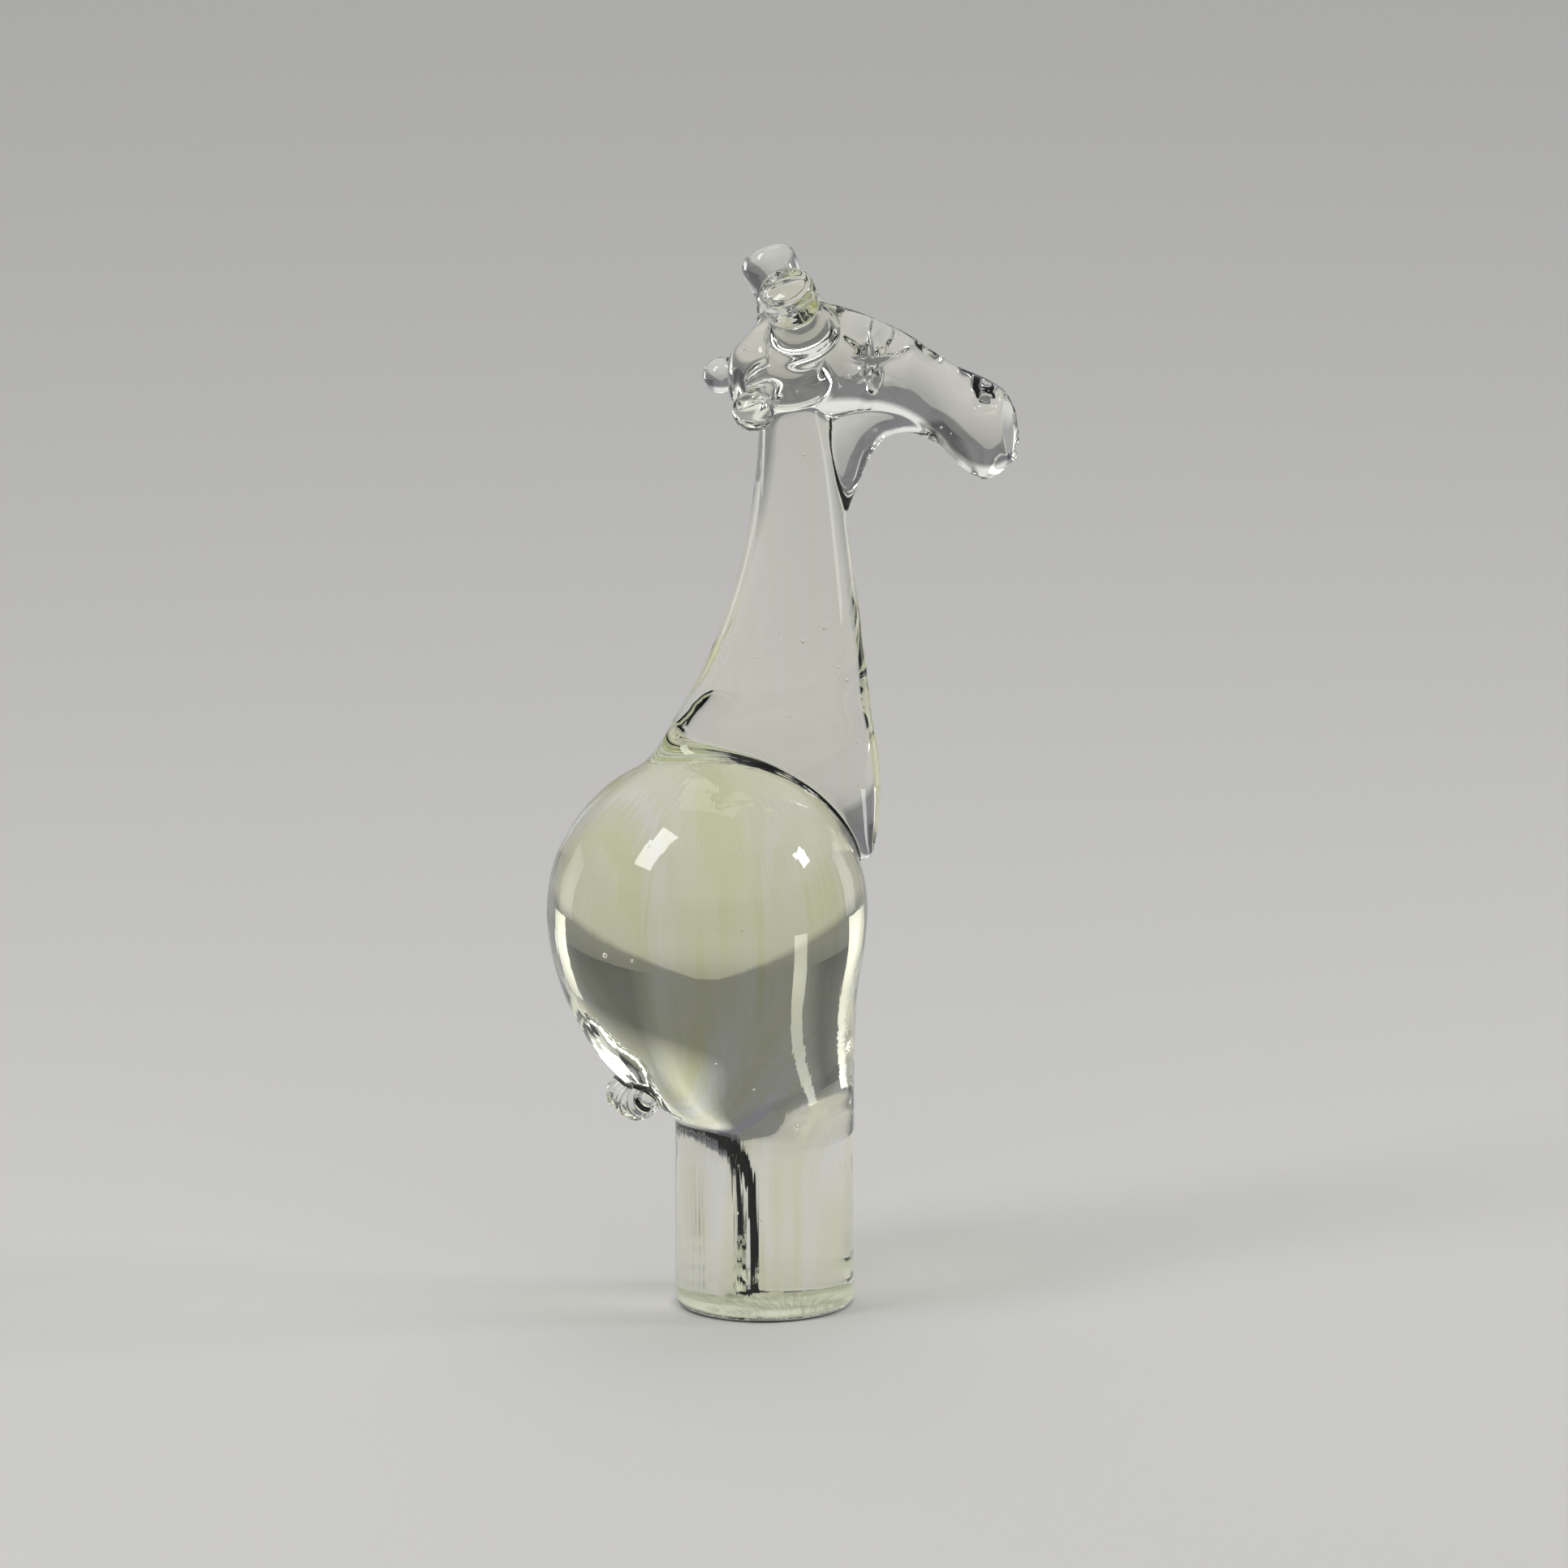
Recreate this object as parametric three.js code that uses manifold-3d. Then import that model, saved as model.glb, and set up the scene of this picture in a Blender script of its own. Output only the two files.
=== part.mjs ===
// Glass giraffe figurine, worked hot from clear glass. Every form is one gather or one bit of glass
// that was dropped on while soft, so every form is one solid here, seated on the one that carries it.
// Millimetres. +Z is up, +X is the way the giraffe faces, and the origin is the middle of the foot.

import * as THREE from 'three';
import { mergeVertices } from 'three/addons/utils/BufferGeometryUtils.js';
import Module from 'manifold-3d';

const wasm = await Module();
wasm.setup();

// The gap kept between two solids that are fused on the real figurine
const seatGap = 0.3;

// Body: a ball of glass, drawn down into the single block that stands for the four legs
const footWidth = 29.8;
const footDepth = 26.4;
const footBevel = 0.8;
const blockSetback = 0.4;
const ballRadius = 26.6;
const ballHeight = 68.5;
const ballSetback = 10.3;
const ballDrawnDown = 36;
const ballDrawnSlope = 1.8;
const rumpFillet = 1.8;
const sideDrawnDown = 45;
const sideTaper = 2.5;

// Groove pressed up the back of the block, between the hind and the fore legs
const grooveWidth = 5.2;
const grooveDepth = 4.4;
const grooveHeight = 33;
const grooveSetback = 2.6;
const grooveTaper = 0.35;
const grooveOverrun = 1;

// Neck: a long gather that widens to a foot on top of the ball, and hangs down its front as a chest
const neckLength = 57;
const neckTopWidth = 10.2;
const neckTopDepth = 11.2;
const neckTopForward = 3.9;
const neckFootRear = 15.9;
const neckFootFront = 18.4;
const neckFootDepth = 14.8;
const neckFootLift = 3.6;
const neckOffset = 4;
const neckSweep = 2.4;
const neckFlare = 0.2;
const neckFlareSteepness = 6;
const neckSquareness = 2.3;
const heelCollar = 3;
const heelFullness = 2.6;
const chestDrop = 19;
const chestSwell = 1.3;
const chestThinning = 0.7;
const chestTipWidth = 3.4;

// Head: ribs across one gather, from the back of the skull to the end of the muzzle.
// Each rib is placed forward of and above the joint with the neck, and leans forward by its tilt.
const occiput = { forward: -9.3, up: 7.3, height: 9.4, depth: 8.4, tilt: 0 };
const nape = { forward: -5.3, up: 7.8, height: 16.6, depth: 12.8, tilt: 0 };
const crown = { forward: 3.9, up: 9.8, height: 19.2, depth: 14.6, tilt: 2 };
const brow = { forward: 16.1, up: 7.5, height: 15, depth: 12.4, tilt: 11 };
const bridge = { forward: 25.1, up: 2.5, height: 12.4, depth: 9.6, tilt: 24 };
const muzzle = { forward: 30.9, up: -1.9, height: 15.4, depth: 11, tilt: 18 };
const chin = { forward: 34.3, up: -4, height: 15.4, depth: 10.6, tilt: 13 };
const lip = { forward: 37.8, up: -3.6, height: 8.4, depth: 8.2, tilt: -3 };
const headRibs = [occiput, nape, crown, brow, bridge, muzzle, chin, lip];

// Shear cut: the flat end of the muzzle, a little turned to the near side and leaned back
const shearForward = 37.4;
const shearTurn = 33;
const shearLean = 8;

// Marks pressed into the soft head with a tool: two eyes and two nostrils, and the mouth's crease
const eye = { forward: 13.1, up: 9.4, radius: 2.2, deep: 3.4 };
const nostril = { forward: 32.6, up: 4.2, radius: 2.6, deep: 2.6 };
const mouth = { forward: 38, up: -6.4, height: 0.9, inset: 0.8 };

// Throat: a bit laid in the angle of neck and jaw, drawn down to a point where it was cut off.
// The back and front edges of each rib are placed forward of the neck's front and above the joint.
const cutPoint = { back: 3.4, backUp: -15, front: 4.8, frontUp: -15, depth: 2.4 };
const web = { back: 1, backUp: -10.5, front: 6.6, frontUp: -10.8, depth: 6 };
const fold = { back: 0, backUp: -3, front: 9.2, frontUp: -5.2, depth: 8 };
const jawRoot = { back: 4.5, backUp: 2, front: 11.8, frontUp: -3.2, depth: 8 };
const tongue = { back: 11.2, backUp: 3, front: 15.1, frontUp: -3, depth: 6.4 };
const tongueTip = { back: 16.3, backUp: 0.5, front: 18.7, frontUp: -4.4, depth: 4 };

// Horns: a root that flares out over the side of the crown, a waist, and a knob with a pressed end
const hornRootDepth = 5;
const hornFlareRadius = 6.4;
const hornShoulderRadius = 5.5;
const hornShoulderAt = 3;
const hornWaistRadius = 4.4;
const hornWaistAt = 6.2;
const hornKnobRadius = 4.7;
const hornKnobAt = 9.6;
const hornEndRadius = 3.6;
const hornEndBevel = 0.8;
const hornEndDome = 0.2;
const hornLength = 13;
const hornForward = 1.4;
const hornUp = 15;
const hornSpread = 5.4;
const hornSplay = 31;
const hornLeanBack = 18.5;

// Ears: a flattened bit on the side of the skull, drawn back and down to a ball
const earLength = 13;
const earHeight = 7.6;
const earThickness = 4.6;
const earForward = -2.2;
const earUp = 7.8;
const earNeckRadius = 2.2;
const earArch = 0.6;
const earBend = 0.4;
const earBall = {
  near: { radius: 3.5, back: 7.6, up: 3.8, spread: 10 },
  far: { radius: 3, back: 10.2, up: 5.2, spread: 10.6 },
};

// Tail: a short crimped bit, curled round the lower edge of the rump to its near side
const tailThickness = 5.2;
const tailHeight = 40.3;
const tailCurl = 1.6;
const tailWrap = 38;
const tailStandoff = 1;
const tailDroop = 0.8;
const tailRidges = 5;
const tailRidgeDepth = 0.3;
const tailRounding = 0.2;
const tailUp = new THREE.Vector3(0.4, 0.2, 1);

// Levels that follow from the sizes above
const ballTop = ballHeight + ballRadius;
const headJoint = new THREE.Vector3(neckTopForward, 0, ballTop + neckLength);
const degrees = Math.PI / 180;

// Larger of two sizes, rounded where they cross as a hot fillet is
function smoothLarger(a, b, fillet) {
  return 0.5 * (a + b + Math.hypot(a - b, fillet));
}

// Put triangles on rings of points and close both ends with a point at their middle
function closedSkin(rings, around) {
  const points = rings.flat();
  const first = points.length;
  for (const end of [rings[0], rings[rings.length - 1]]) {
    const middle = new THREE.Vector3();
    for (const point of end) middle.addScaledVector(point, 1 / around);
    points.push(middle);
  }
  const faces = [];
  const last = rings.length - 1;
  for (let k = 0; k < around; k += 1) {
    const next = (k + 1) % around;
    faces.push(first, next, k);
    faces.push(first + 1, last * around + k, last * around + next);
    for (let ring = 0; ring < last; ring += 1) {
      const low = ring * around;
      const high = low + around;
      faces.push(low + k, low + next, high + next);
      faces.push(low + k, high + next, high + k);
    }
  }
  const geometry = new THREE.BufferGeometry().setFromPoints(points);
  geometry.setIndex(faces);
  return facingOut(geometry);
}

// Turn a closed skin's faces outwards, whichever way its rings ran
function facingOut(geometry) {
  const position = geometry.attributes.position;
  const index = geometry.index.array;
  const corner = [new THREE.Vector3(), new THREE.Vector3(), new THREE.Vector3()];
  let volume = 0;
  for (let i = 0; i < index.length; i += 3) {
    corner.forEach((point, k) => point.fromBufferAttribute(position, index[i + k]));
    volume += corner[0].dot(corner[1].cross(corner[2])) / 6;
  }
  if (volume < 0) index.reverse();
  return geometry;
}

// One ring of glass: half of its outline's height and width are two vectors from its centre
function ring(centre, halfHeight, halfWidth, around, squareness = 2) {
  const points = [];
  for (let k = 0; k < around; k += 1) {
    const angle = (k / around) * 2 * Math.PI;
    const c = Math.cos(angle);
    const s = Math.sin(angle);
    const up = Math.sign(c) * Math.abs(c) ** (2 / squareness);
    const side = Math.sign(s) * Math.abs(s) ** (2 / squareness);
    points.push(centre.clone().addScaledVector(halfHeight, up).addScaledVector(halfWidth, side));
  }
  return points;
}

// A rib is a ring between two points of the side view, as deep across the giraffe as given
function rib(x1, z1, x2, z2, depth, y = 0) {
  return { low: new THREE.Vector3(x1, y, z1), high: new THREE.Vector3(x2, y, z2), depth };
}

// Draw a smooth gather of glass through its ribs, with a shallow dome over each end
function gather(ribs, { around, rings, domes = [0, 0], squareness = 2 }) {
  const low = new THREE.CatmullRomCurve3(ribs.map((r) => r.low));
  const high = new THREE.CatmullRomCurve3(ribs.map((r) => r.high));
  const depth = new THREE.CatmullRomCurve3(ribs.map((r) => new THREE.Vector3(r.depth, 0, 0)));
  const sections = [];
  for (let i = 0; i <= rings; i += 1) {
    const t = i / rings;
    const a = low.getPoint(t);
    const b = high.getPoint(t);
    sections.push({
      centre: a.clone().add(b).multiplyScalar(0.5),
      halfHeight: b.clone().sub(a).multiplyScalar(0.5),
      halfWidth: new THREE.Vector3(0, depth.getPoint(t).x / 2, 0),
    });
  }
  const skins = sections.map((s) => ring(s.centre, s.halfHeight, s.halfWidth, around, squareness));
  const start = dome(sections[0], sections[1], domes[0], around, squareness).reverse();
  const end = dome(sections[rings], sections[rings - 1], domes[1], around, squareness);
  return closedSkin([...start, ...skins, ...end], around);
}

// Rings of a dome that closes a gather at one end, or none where the end is flat
function dome(section, before, height, around, squareness) {
  const rings = [];
  if (height === 0) return rings;
  const outward = section.halfHeight.clone().cross(section.halfWidth).normalize();
  if (outward.dot(section.centre.clone().sub(before.centre)) < 0) outward.negate();
  for (const angle of [30, 55, 78]) {
    const shrink = Math.cos(angle * degrees);
    const centre = section.centre.clone().addScaledVector(outward, height * Math.sin(angle * degrees));
    const halfHeight = section.halfHeight.clone().multiplyScalar(shrink);
    const halfWidth = section.halfWidth.clone().multiplyScalar(shrink);
    rings.push(ring(centre, halfHeight, halfWidth, around, squareness));
  }
  return rings;
}

// Draw a bit of glass along a curve; size(t) gives its half height and half width there
function strand(path, size, up, { around, rings }) {
  const skins = [];
  for (let i = 0; i <= rings; i += 1) {
    const t = i / rings;
    const tangent = path.getTangent(t);
    const across = tangent.clone().cross(up).normalize();
    const raised = across.clone().cross(tangent).normalize();
    const [halfHeight, halfWidth] = size(t);
    const centre = path.getPoint(t);
    skins.push(ring(centre, raised.multiplyScalar(halfHeight), across.multiplyScalar(halfWidth), around));
  }
  return closedSkin(skins, around);
}

// How much of its full size a strand has at t, with both ends rounded over the given share
function roundedEnds(t, share) {
  const nearest = Math.min(t, 1 - t, share) / share;
  return Math.max(share, Math.sqrt(1 - (1 - nearest) ** 2));
}

// An arch over 0 to 1, with nothing at its ends and its whole height in the middle
function arch(t) {
  return 4 * t * (1 - t);
}

// Solids that can be joined and cut, from geometry and back
function solid(geometry) {
  const bare = geometry.clone();
  bare.deleteAttribute('normal');
  bare.deleteAttribute('uv');
  const merged = mergeVertices(bare, 1e-4);
  const vertProperties = Float32Array.from(merged.attributes.position.array);
  const triVerts = Uint32Array.from(merged.index.array);
  return new wasm.Manifold(new wasm.Mesh({ numProp: 3, vertProperties, triVerts }));
}

function geometryOf(shape) {
  const mesh = shape.getMesh();
  const geometry = new THREE.BufferGeometry();
  geometry.setAttribute('position', new THREE.BufferAttribute(mesh.vertProperties, 3));
  geometry.setIndex(new THREE.BufferAttribute(mesh.triVerts, 1));
  return geometry;
}

// The room that a neighbour leaves round a gather: the same skin, one seat gap further out
function roomFor(geometry) {
  const bare = geometry.clone();
  bare.deleteAttribute('normal');
  bare.deleteAttribute('uv');
  const grown = mergeVertices(bare, 1e-4);
  grown.computeVertexNormals();
  const { position, normal } = grown.attributes;
  const point = new THREE.Vector3();
  const outward = new THREE.Vector3();
  for (let i = 0; i < position.count; i += 1) {
    point.fromBufferAttribute(position, i);
    outward.fromBufferAttribute(normal, i);
    point.addScaledVector(outward, seatGap);
    position.setXYZ(i, point.x, point.y, point.z);
  }
  return solid(grown);
}

// The cone that a tool's point presses into the side of the head, placed from the same joint
function pokeAt({ forward, up, radius, deep }, side) {
  const cone = new THREE.ConeGeometry(radius, deep, 16);
  if (side > 0) cone.rotateX(Math.PI);
  const across = side * (headHalfDepth(forward) - deep / 2 + seatGap);
  cone.translate(headJoint.x + forward, across, headJoint.z + up);
  return cone;
}

// A small ball of the tool or of the glass, placed from the joint of head and neck
function ballAt(radius, forward, across, up, flatten = new THREE.Vector3(1, 1, 1)) {
  const ball = new THREE.SphereGeometry(radius, 14, 10);
  ball.scale(flatten.x, flatten.y, flatten.z);
  ball.translate(headJoint.x + forward, across, headJoint.z + up);
  return ball;
}

// How much of its radius the ball has left at a height from its middle, drawn out to a reach
function swellAt(height, reach, slope) {
  return Math.max(0, 1 - Math.abs(height / reach) ** slope) ** (1 / slope);
}

// Body: outline at one height, from the block's half width and the drawn ball's.
// The ball sits over the block like a rump, and at its sides it runs into it in one long taper.
function bodyOutline(z) {
  const height = z - ballHeight;
  const block = footWidth / 2;
  if (height > 0) {
    const swell = swellAt(height, ballRadius, 2);
    const front = smoothLarger(block - blockSetback + ballSetback, ballRadius, rumpFillet);
    return {
      rear: -ballSetback - ballRadius * swell,
      front: -ballSetback + front * swell,
      halfDepth: ballRadius * swell,
    };
  }
  const drawn = ballRadius * swellAt(height, ballDrawnDown, ballDrawnSlope);
  const side = Math.max(0, 1 - (height / sideDrawnDown) ** 2) ** sideTaper;
  return {
    rear: -smoothLarger(block + blockSetback, ballSetback + drawn, rumpFillet),
    front: smoothLarger(block - blockSetback, drawn - ballSetback, rumpFillet),
    halfDepth: footDepth / 2 + (ballRadius - footDepth / 2) * side,
  };
}

// A point on the body's skin, turned from straight behind towards the near side
function onBody(turn, z) {
  const { rear, front, halfDepth } = bodyOutline(z);
  const middle = (rear + front) / 2;
  const x = middle - ((front - rear) / 2) * Math.cos(turn * degrees);
  return new THREE.Vector3(x, -halfDepth * Math.sin(turn * degrees), z);
}

function bodySkin() {
  const around = 36;
  const heights = [footBevel];
  const blockRings = 7;
  const drawnRings = 13;
  const ballRings = 9;
  const blockTop = ballHeight - ballDrawnDown;
  for (let i = 1; i <= blockRings; i += 1) {
    heights.push(footBevel + ((blockTop - footBevel) * i) / blockRings);
  }
  for (let i = 1; i <= drawnRings; i += 1) {
    const angle = (Math.PI / 2) * (1 - i / drawnRings);
    heights.push(ballHeight - ballDrawnDown * Math.sin(angle));
  }
  for (let i = 1; i < ballRings; i += 1) {
    heights.push(ballHeight + ballRadius * Math.sin((i / ballRings) * (Math.PI / 2)));
  }
  const rings = heights.map((z) => bodyRing(z, 0, around));
  const foot = bodyRing(0, footBevel, around, blockSetback);
  const pole = new THREE.Vector3(-ballSetback, 0, ballTop);
  const poleRadius = 0.5;
  const alongPole = new THREE.Vector3(poleRadius, 0, 0);
  const poleRing = ring(pole, alongPole, new THREE.Vector3(0, poleRadius, 0), around);
  return closedSkin([foot, ...rings, poleRing], around);
}

function bodyRing(z, inset, around, shift = 0) {
  const { rear, front, halfDepth } = bodyOutline(z);
  const centre = new THREE.Vector3((rear + front) / 2 + shift, 0, z);
  const halfLength = new THREE.Vector3((front - rear) / 2 - inset, 0, 0);
  return ring(centre, halfLength, new THREE.Vector3(0, halfDepth - inset, 0), around);
}

// The groove's tool: as wide as the groove, pressed into the back, and running out at its top
function grooveTool() {
  const ribs = [];
  const steps = 5;
  for (let i = 0; i <= steps; i += 1) {
    const t = i / steps;
    const z = -grooveOverrun + (grooveHeight + grooveOverrun) * t;
    const out = bodyOutline(z).halfDepth + grooveDepth * t ** 4;
    const half = (grooveWidth / 2) * (1 - grooveTaper * t ** 3);
    ribs.push(rib(-grooveSetback - half, z, -grooveSetback + half, z, 2 * grooveDepth, out));
  }
  return gather(ribs, { around: 16, rings: 12, domes: [0, 1] });
}

// Neck: ribs up from the tip of the chest to the foot's rim, and on to the top inside the head
function neckSkin() {
  const rim = ballTop + neckFootLift;
  const tip = ballTop - chestDrop;
  const chestTip = neckFootFront - chestTipWidth;
  const ribs = [];
  const chestSteps = 4;
  for (let i = 0; i < chestSteps; i += 1) {
    const down = 1 - i / chestSteps;
    const z = rim + (tip - rim) * down;
    const collar = heelCollar * arch(Math.min(1, 2 * down));
    const rear = -neckFootRear - collar + (chestTip + neckFootRear) * down ** heelFullness;
    const front = neckFootFront + chestSwell * arch(down);
    ribs.push(rib(rear, z, front, z, neckFootDepth * (1 - chestThinning * down ** 3), neckOffset));
  }
  const neckSteps = 7;
  const top = headJoint.z + skullClearance();
  for (let i = 0; i <= neckSteps; i += 1) {
    const t = i / neckSteps;
    const z = rim + (top - rim) * t;
    const rearShare = 1 - (1 - t) ** neckSweep;
    const frontShare = (1 - neckFlare) * t + neckFlare * t ** neckFlareSteepness;
    const rear = -neckFootRear + (neckTopForward - neckTopWidth / 2 + neckFootRear) * rearShare;
    const front = neckFootFront + (neckTopForward + neckTopWidth / 2 - neckFootFront) * frontShare;
    const depth = neckFootDepth + (neckTopDepth - neckFootDepth) * Math.sqrt(t);
    ribs.push(rib(rear, z, front, z, depth, neckOffset * (1 - t)));
  }
  return gather(ribs, { around: 28, rings: 33, domes: [1, 1], squareness: neckSquareness });
}

// How far the neck's top runs up inside the skull before the skull cuts it off
function skullClearance() {
  return crown.height / 4;
}

// Head: one rib of the list, placed from the joint with the neck
function headRib({ forward, up, height, depth, tilt }) {
  const x = headJoint.x + forward;
  const z = headJoint.z + up;
  const lean = (height / 2) * Math.sin(tilt * degrees);
  const rise = (height / 2) * Math.cos(tilt * degrees);
  return rib(x - lean, z - rise, x + lean, z + rise, depth);
}

function headSkin() {
  return gather(headRibs.map(headRib), { around: 28, rings: 28, domes: [1.2, 0.7] });
}

// Half of the head's depth at a place along it, read off between the ribs
function headHalfDepth(forward) {
  const after = headRibs.findIndex((r) => r.forward >= forward);
  const [a, b] = [headRibs[after - 1], headRibs[after]];
  const share = (forward - a.forward) / (b.forward - a.forward);
  return (a.depth + (b.depth - a.depth) * share) / 2;
}

// The tools that mark the head: a point pressed in at each eye and nostril, and a blade at the mouth
function headMarks() {
  const blade = new THREE.Vector3(mouth.inset, lip.depth / 2, mouth.height / 2);
  const marks = [ballAt(1, mouth.forward, 0, mouth.up, blade)];
  for (const side of [-1, 1]) marks.push(pokeAt(eye, side), pokeAt(nostril, side));
  return marks;
}

// The shears take off all that lies in front of one plane
function sheared(shape) {
  const turn = shearTurn * degrees;
  const lean = shearLean * degrees;
  const facing = new THREE.Vector3(Math.cos(turn), -Math.sin(turn), Math.tan(lean)).normalize();
  const blades = headJoint.clone().add(new THREE.Vector3(shearForward, 0, 0));
  return shape.trimByPlane(facing.clone().negate().toArray(), -facing.dot(blades));
}

// Throat: ribs across the web, from the cut point up the neck and forward under the jaw
function throatRib({ back, backUp, front, frontUp, depth }) {
  const edge = headJoint.x + neckTopWidth / 2;
  return rib(edge + back, headJoint.z + backUp, edge + front, headJoint.z + frontUp, depth);
}

function throatSkin() {
  const ribs = [cutPoint, web, fold, jawRoot, tongue, tongueTip].map(throatRib);
  return gather(ribs, { around: 20, rings: 18, domes: [0.8, 1] });
}

// Horn: turned about its own axis, then splayed to its side and leaned back
function hornSkin(side) {
  const outline = new THREE.SplineCurve([
    new THREE.Vector2(0, -hornRootDepth),
    new THREE.Vector2(hornFlareRadius, 0),
    new THREE.Vector2(hornShoulderRadius, hornShoulderAt),
    new THREE.Vector2(hornWaistRadius, hornWaistAt),
    new THREE.Vector2(hornKnobRadius, hornKnobAt),
    new THREE.Vector2(hornEndRadius + hornEndBevel, hornLength - hornEndBevel),
    new THREE.Vector2(hornEndRadius, hornLength),
  ]).getPoints(18);
  outline.push(new THREE.Vector2(0, hornLength + hornEndDome));
  const horn = new THREE.LatheGeometry(outline, 24);
  horn.rotateX(Math.PI / 2);
  horn.rotateY(-hornLeanBack * degrees);
  horn.rotateX(-side * hornSplay * degrees);
  horn.translate(headJoint.x + hornForward, side * hornSpread, headJoint.z + hornUp);
  return horn;
}

// Ear: a flattened root on the skull, drawn back into a ball
function earSolid(side, { radius, back, up, spread }) {
  const skull = crown.depth / 2;
  const flat = new THREE.Vector3(earLength / 2, earThickness / 2, earHeight / 2);
  const root = ballAt(1, earForward, side * skull, earUp, flat);
  const place = (forward, across, rise) =>
    new THREE.Vector3(headJoint.x + forward, side * across, headJoint.z + rise);
  const path = new THREE.CatmullRomCurve3([
    place(earForward, skull, earUp),
    place((earForward - back) / 2, skull + (spread - skull) * earBend, (earUp + up) / 2 + earArch),
    place(-back, spread, up),
  ]);
  const size = () => [earNeckRadius, earNeckRadius];
  const stem = strand(path, size, new THREE.Vector3(0, 0, 1), { around: 14, rings: 8 });
  const ball = ballAt(radius, -back, side * spread, up);
  return solid(root).add(solid(stem)).add(solid(ball));
}

// Tail: from the rear of the rump, down under its edge, and up again on the near side
function tailSkin() {
  const points = [];
  const steps = 6;
  for (let i = 0; i <= steps; i += 1) {
    const t = i / steps;
    const dip = Math.sin(Math.PI * t);
    const point = onBody(tailWrap * t, tailHeight - tailCurl * dip);
    const outward = new THREE.Vector3(point.x + ballSetback, point.y, point.z - ballHeight);
    points.push(point.addScaledVector(outward.normalize(), tailStandoff + tailDroop * dip));
  }
  const size = (t) => {
    const ridge = tailRidgeDepth * Math.cos(2 * Math.PI * tailRidges * t);
    const radius = (tailThickness / 2 + ridge) * roundedEnds(t, tailRounding);
    return [radius, radius];
  };
  return strand(new THREE.CatmullRomCurve3(points), size, tailUp, { around: 14, rings: 32 });
}

// The glass: clear, a little greener in the body, where it is thick
const bodyTint = 0xd9dfcb;
const neckTint = 0xdfe3d6;
const headTint = 0xe2e5da;
const tailTint = 0xdbe2d0;

function glass(colour) {
  return new THREE.MeshStandardMaterial({
    color: colour,
    roughness: 0.04,
    metalness: 0,
    transparent: true,
    opacity: 0.35,
  });
}

const giraffe = new THREE.Group();
giraffe.name = 'glass_giraffe';

function addPiece(name, shape, colour) {
  const mesh = new THREE.Mesh(geometryOf(shape), glass(colour));
  mesh.name = name;
  giraffe.add(mesh);
}

const body = bodySkin();
const neck = neckSkin();
const head = headSkin();
const throat = throatSkin();

addPiece('body', solid(body).subtract(solid(grooveTool())), bodyTint);
addPiece('neck', solid(neck).subtract(roomFor(body)).subtract(roomFor(head)), neckTint);

let markedHead = sheared(solid(head));
for (const mark of headMarks()) markedHead = markedHead.subtract(solid(mark));
addPiece('head', markedHead, headTint);
addPiece('throat_web', solid(throat).subtract(roomFor(neck)).subtract(roomFor(head)), headTint);

for (const [label, side] of [['near', -1], ['far', 1]]) {
  const horn = hornSkin(side);
  addPiece(`${label}_horn`, solid(horn).subtract(roomFor(head)), headTint);
  const ear = earSolid(side, earBall[label]);
  addPiece(`${label}_ear`, ear.subtract(roomFor(head)).subtract(roomFor(horn)), headTint);
}

addPiece('tail', solid(tailSkin()).subtract(roomFor(body)), tailTint);

export default giraffe;
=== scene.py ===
# %% [markdown]
# # A giraffe of hot-worked glass
#
# The real figurine is made at the furnace. A gather of clear glass is marvered into a ball and drawn
# down into one block of legs, and every other form is a bit of hot glass dropped on after it: the
# neck, the head, the web at the throat, two horns, two ears and the tail. Where two bits meet they
# fuse, so no light turns at the joint, but a crease stays on the outside.
#
# Glass shows every facet, because light bends at each one. A mesh of plain polygons would look cut.
# So each gather is first drawn as a fine skin, the skins are turned into distance fields, the fields
# are melted together with a small fillet, and one smooth surface is taken from the result. That
# surface is then shared out again among the pieces, so that each gather stays an object of its own.

import math

import bpy
import numpy as np
import openvdb
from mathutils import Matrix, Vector


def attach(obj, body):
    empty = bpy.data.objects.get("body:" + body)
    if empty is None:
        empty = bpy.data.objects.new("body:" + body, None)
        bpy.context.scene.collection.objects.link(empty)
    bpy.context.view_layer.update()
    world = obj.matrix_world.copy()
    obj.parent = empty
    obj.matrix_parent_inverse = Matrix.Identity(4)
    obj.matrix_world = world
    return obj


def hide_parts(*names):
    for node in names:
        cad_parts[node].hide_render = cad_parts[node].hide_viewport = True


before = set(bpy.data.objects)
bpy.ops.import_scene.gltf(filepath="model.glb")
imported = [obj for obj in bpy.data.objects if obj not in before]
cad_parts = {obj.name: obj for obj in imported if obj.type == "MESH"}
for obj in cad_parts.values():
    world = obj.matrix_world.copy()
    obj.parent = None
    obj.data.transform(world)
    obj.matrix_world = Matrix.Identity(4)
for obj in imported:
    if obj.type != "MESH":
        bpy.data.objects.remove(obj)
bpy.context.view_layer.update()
print("CAD nodes:", sorted(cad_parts))

# %% [markdown]
# ## The sizes
#
# Millimetres, with the origin in the middle of the foot, +X the way the giraffe faces and +Z up.
# They are the sizes of the CAD part, so that each glass piece lies where its CAD node does.

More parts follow.
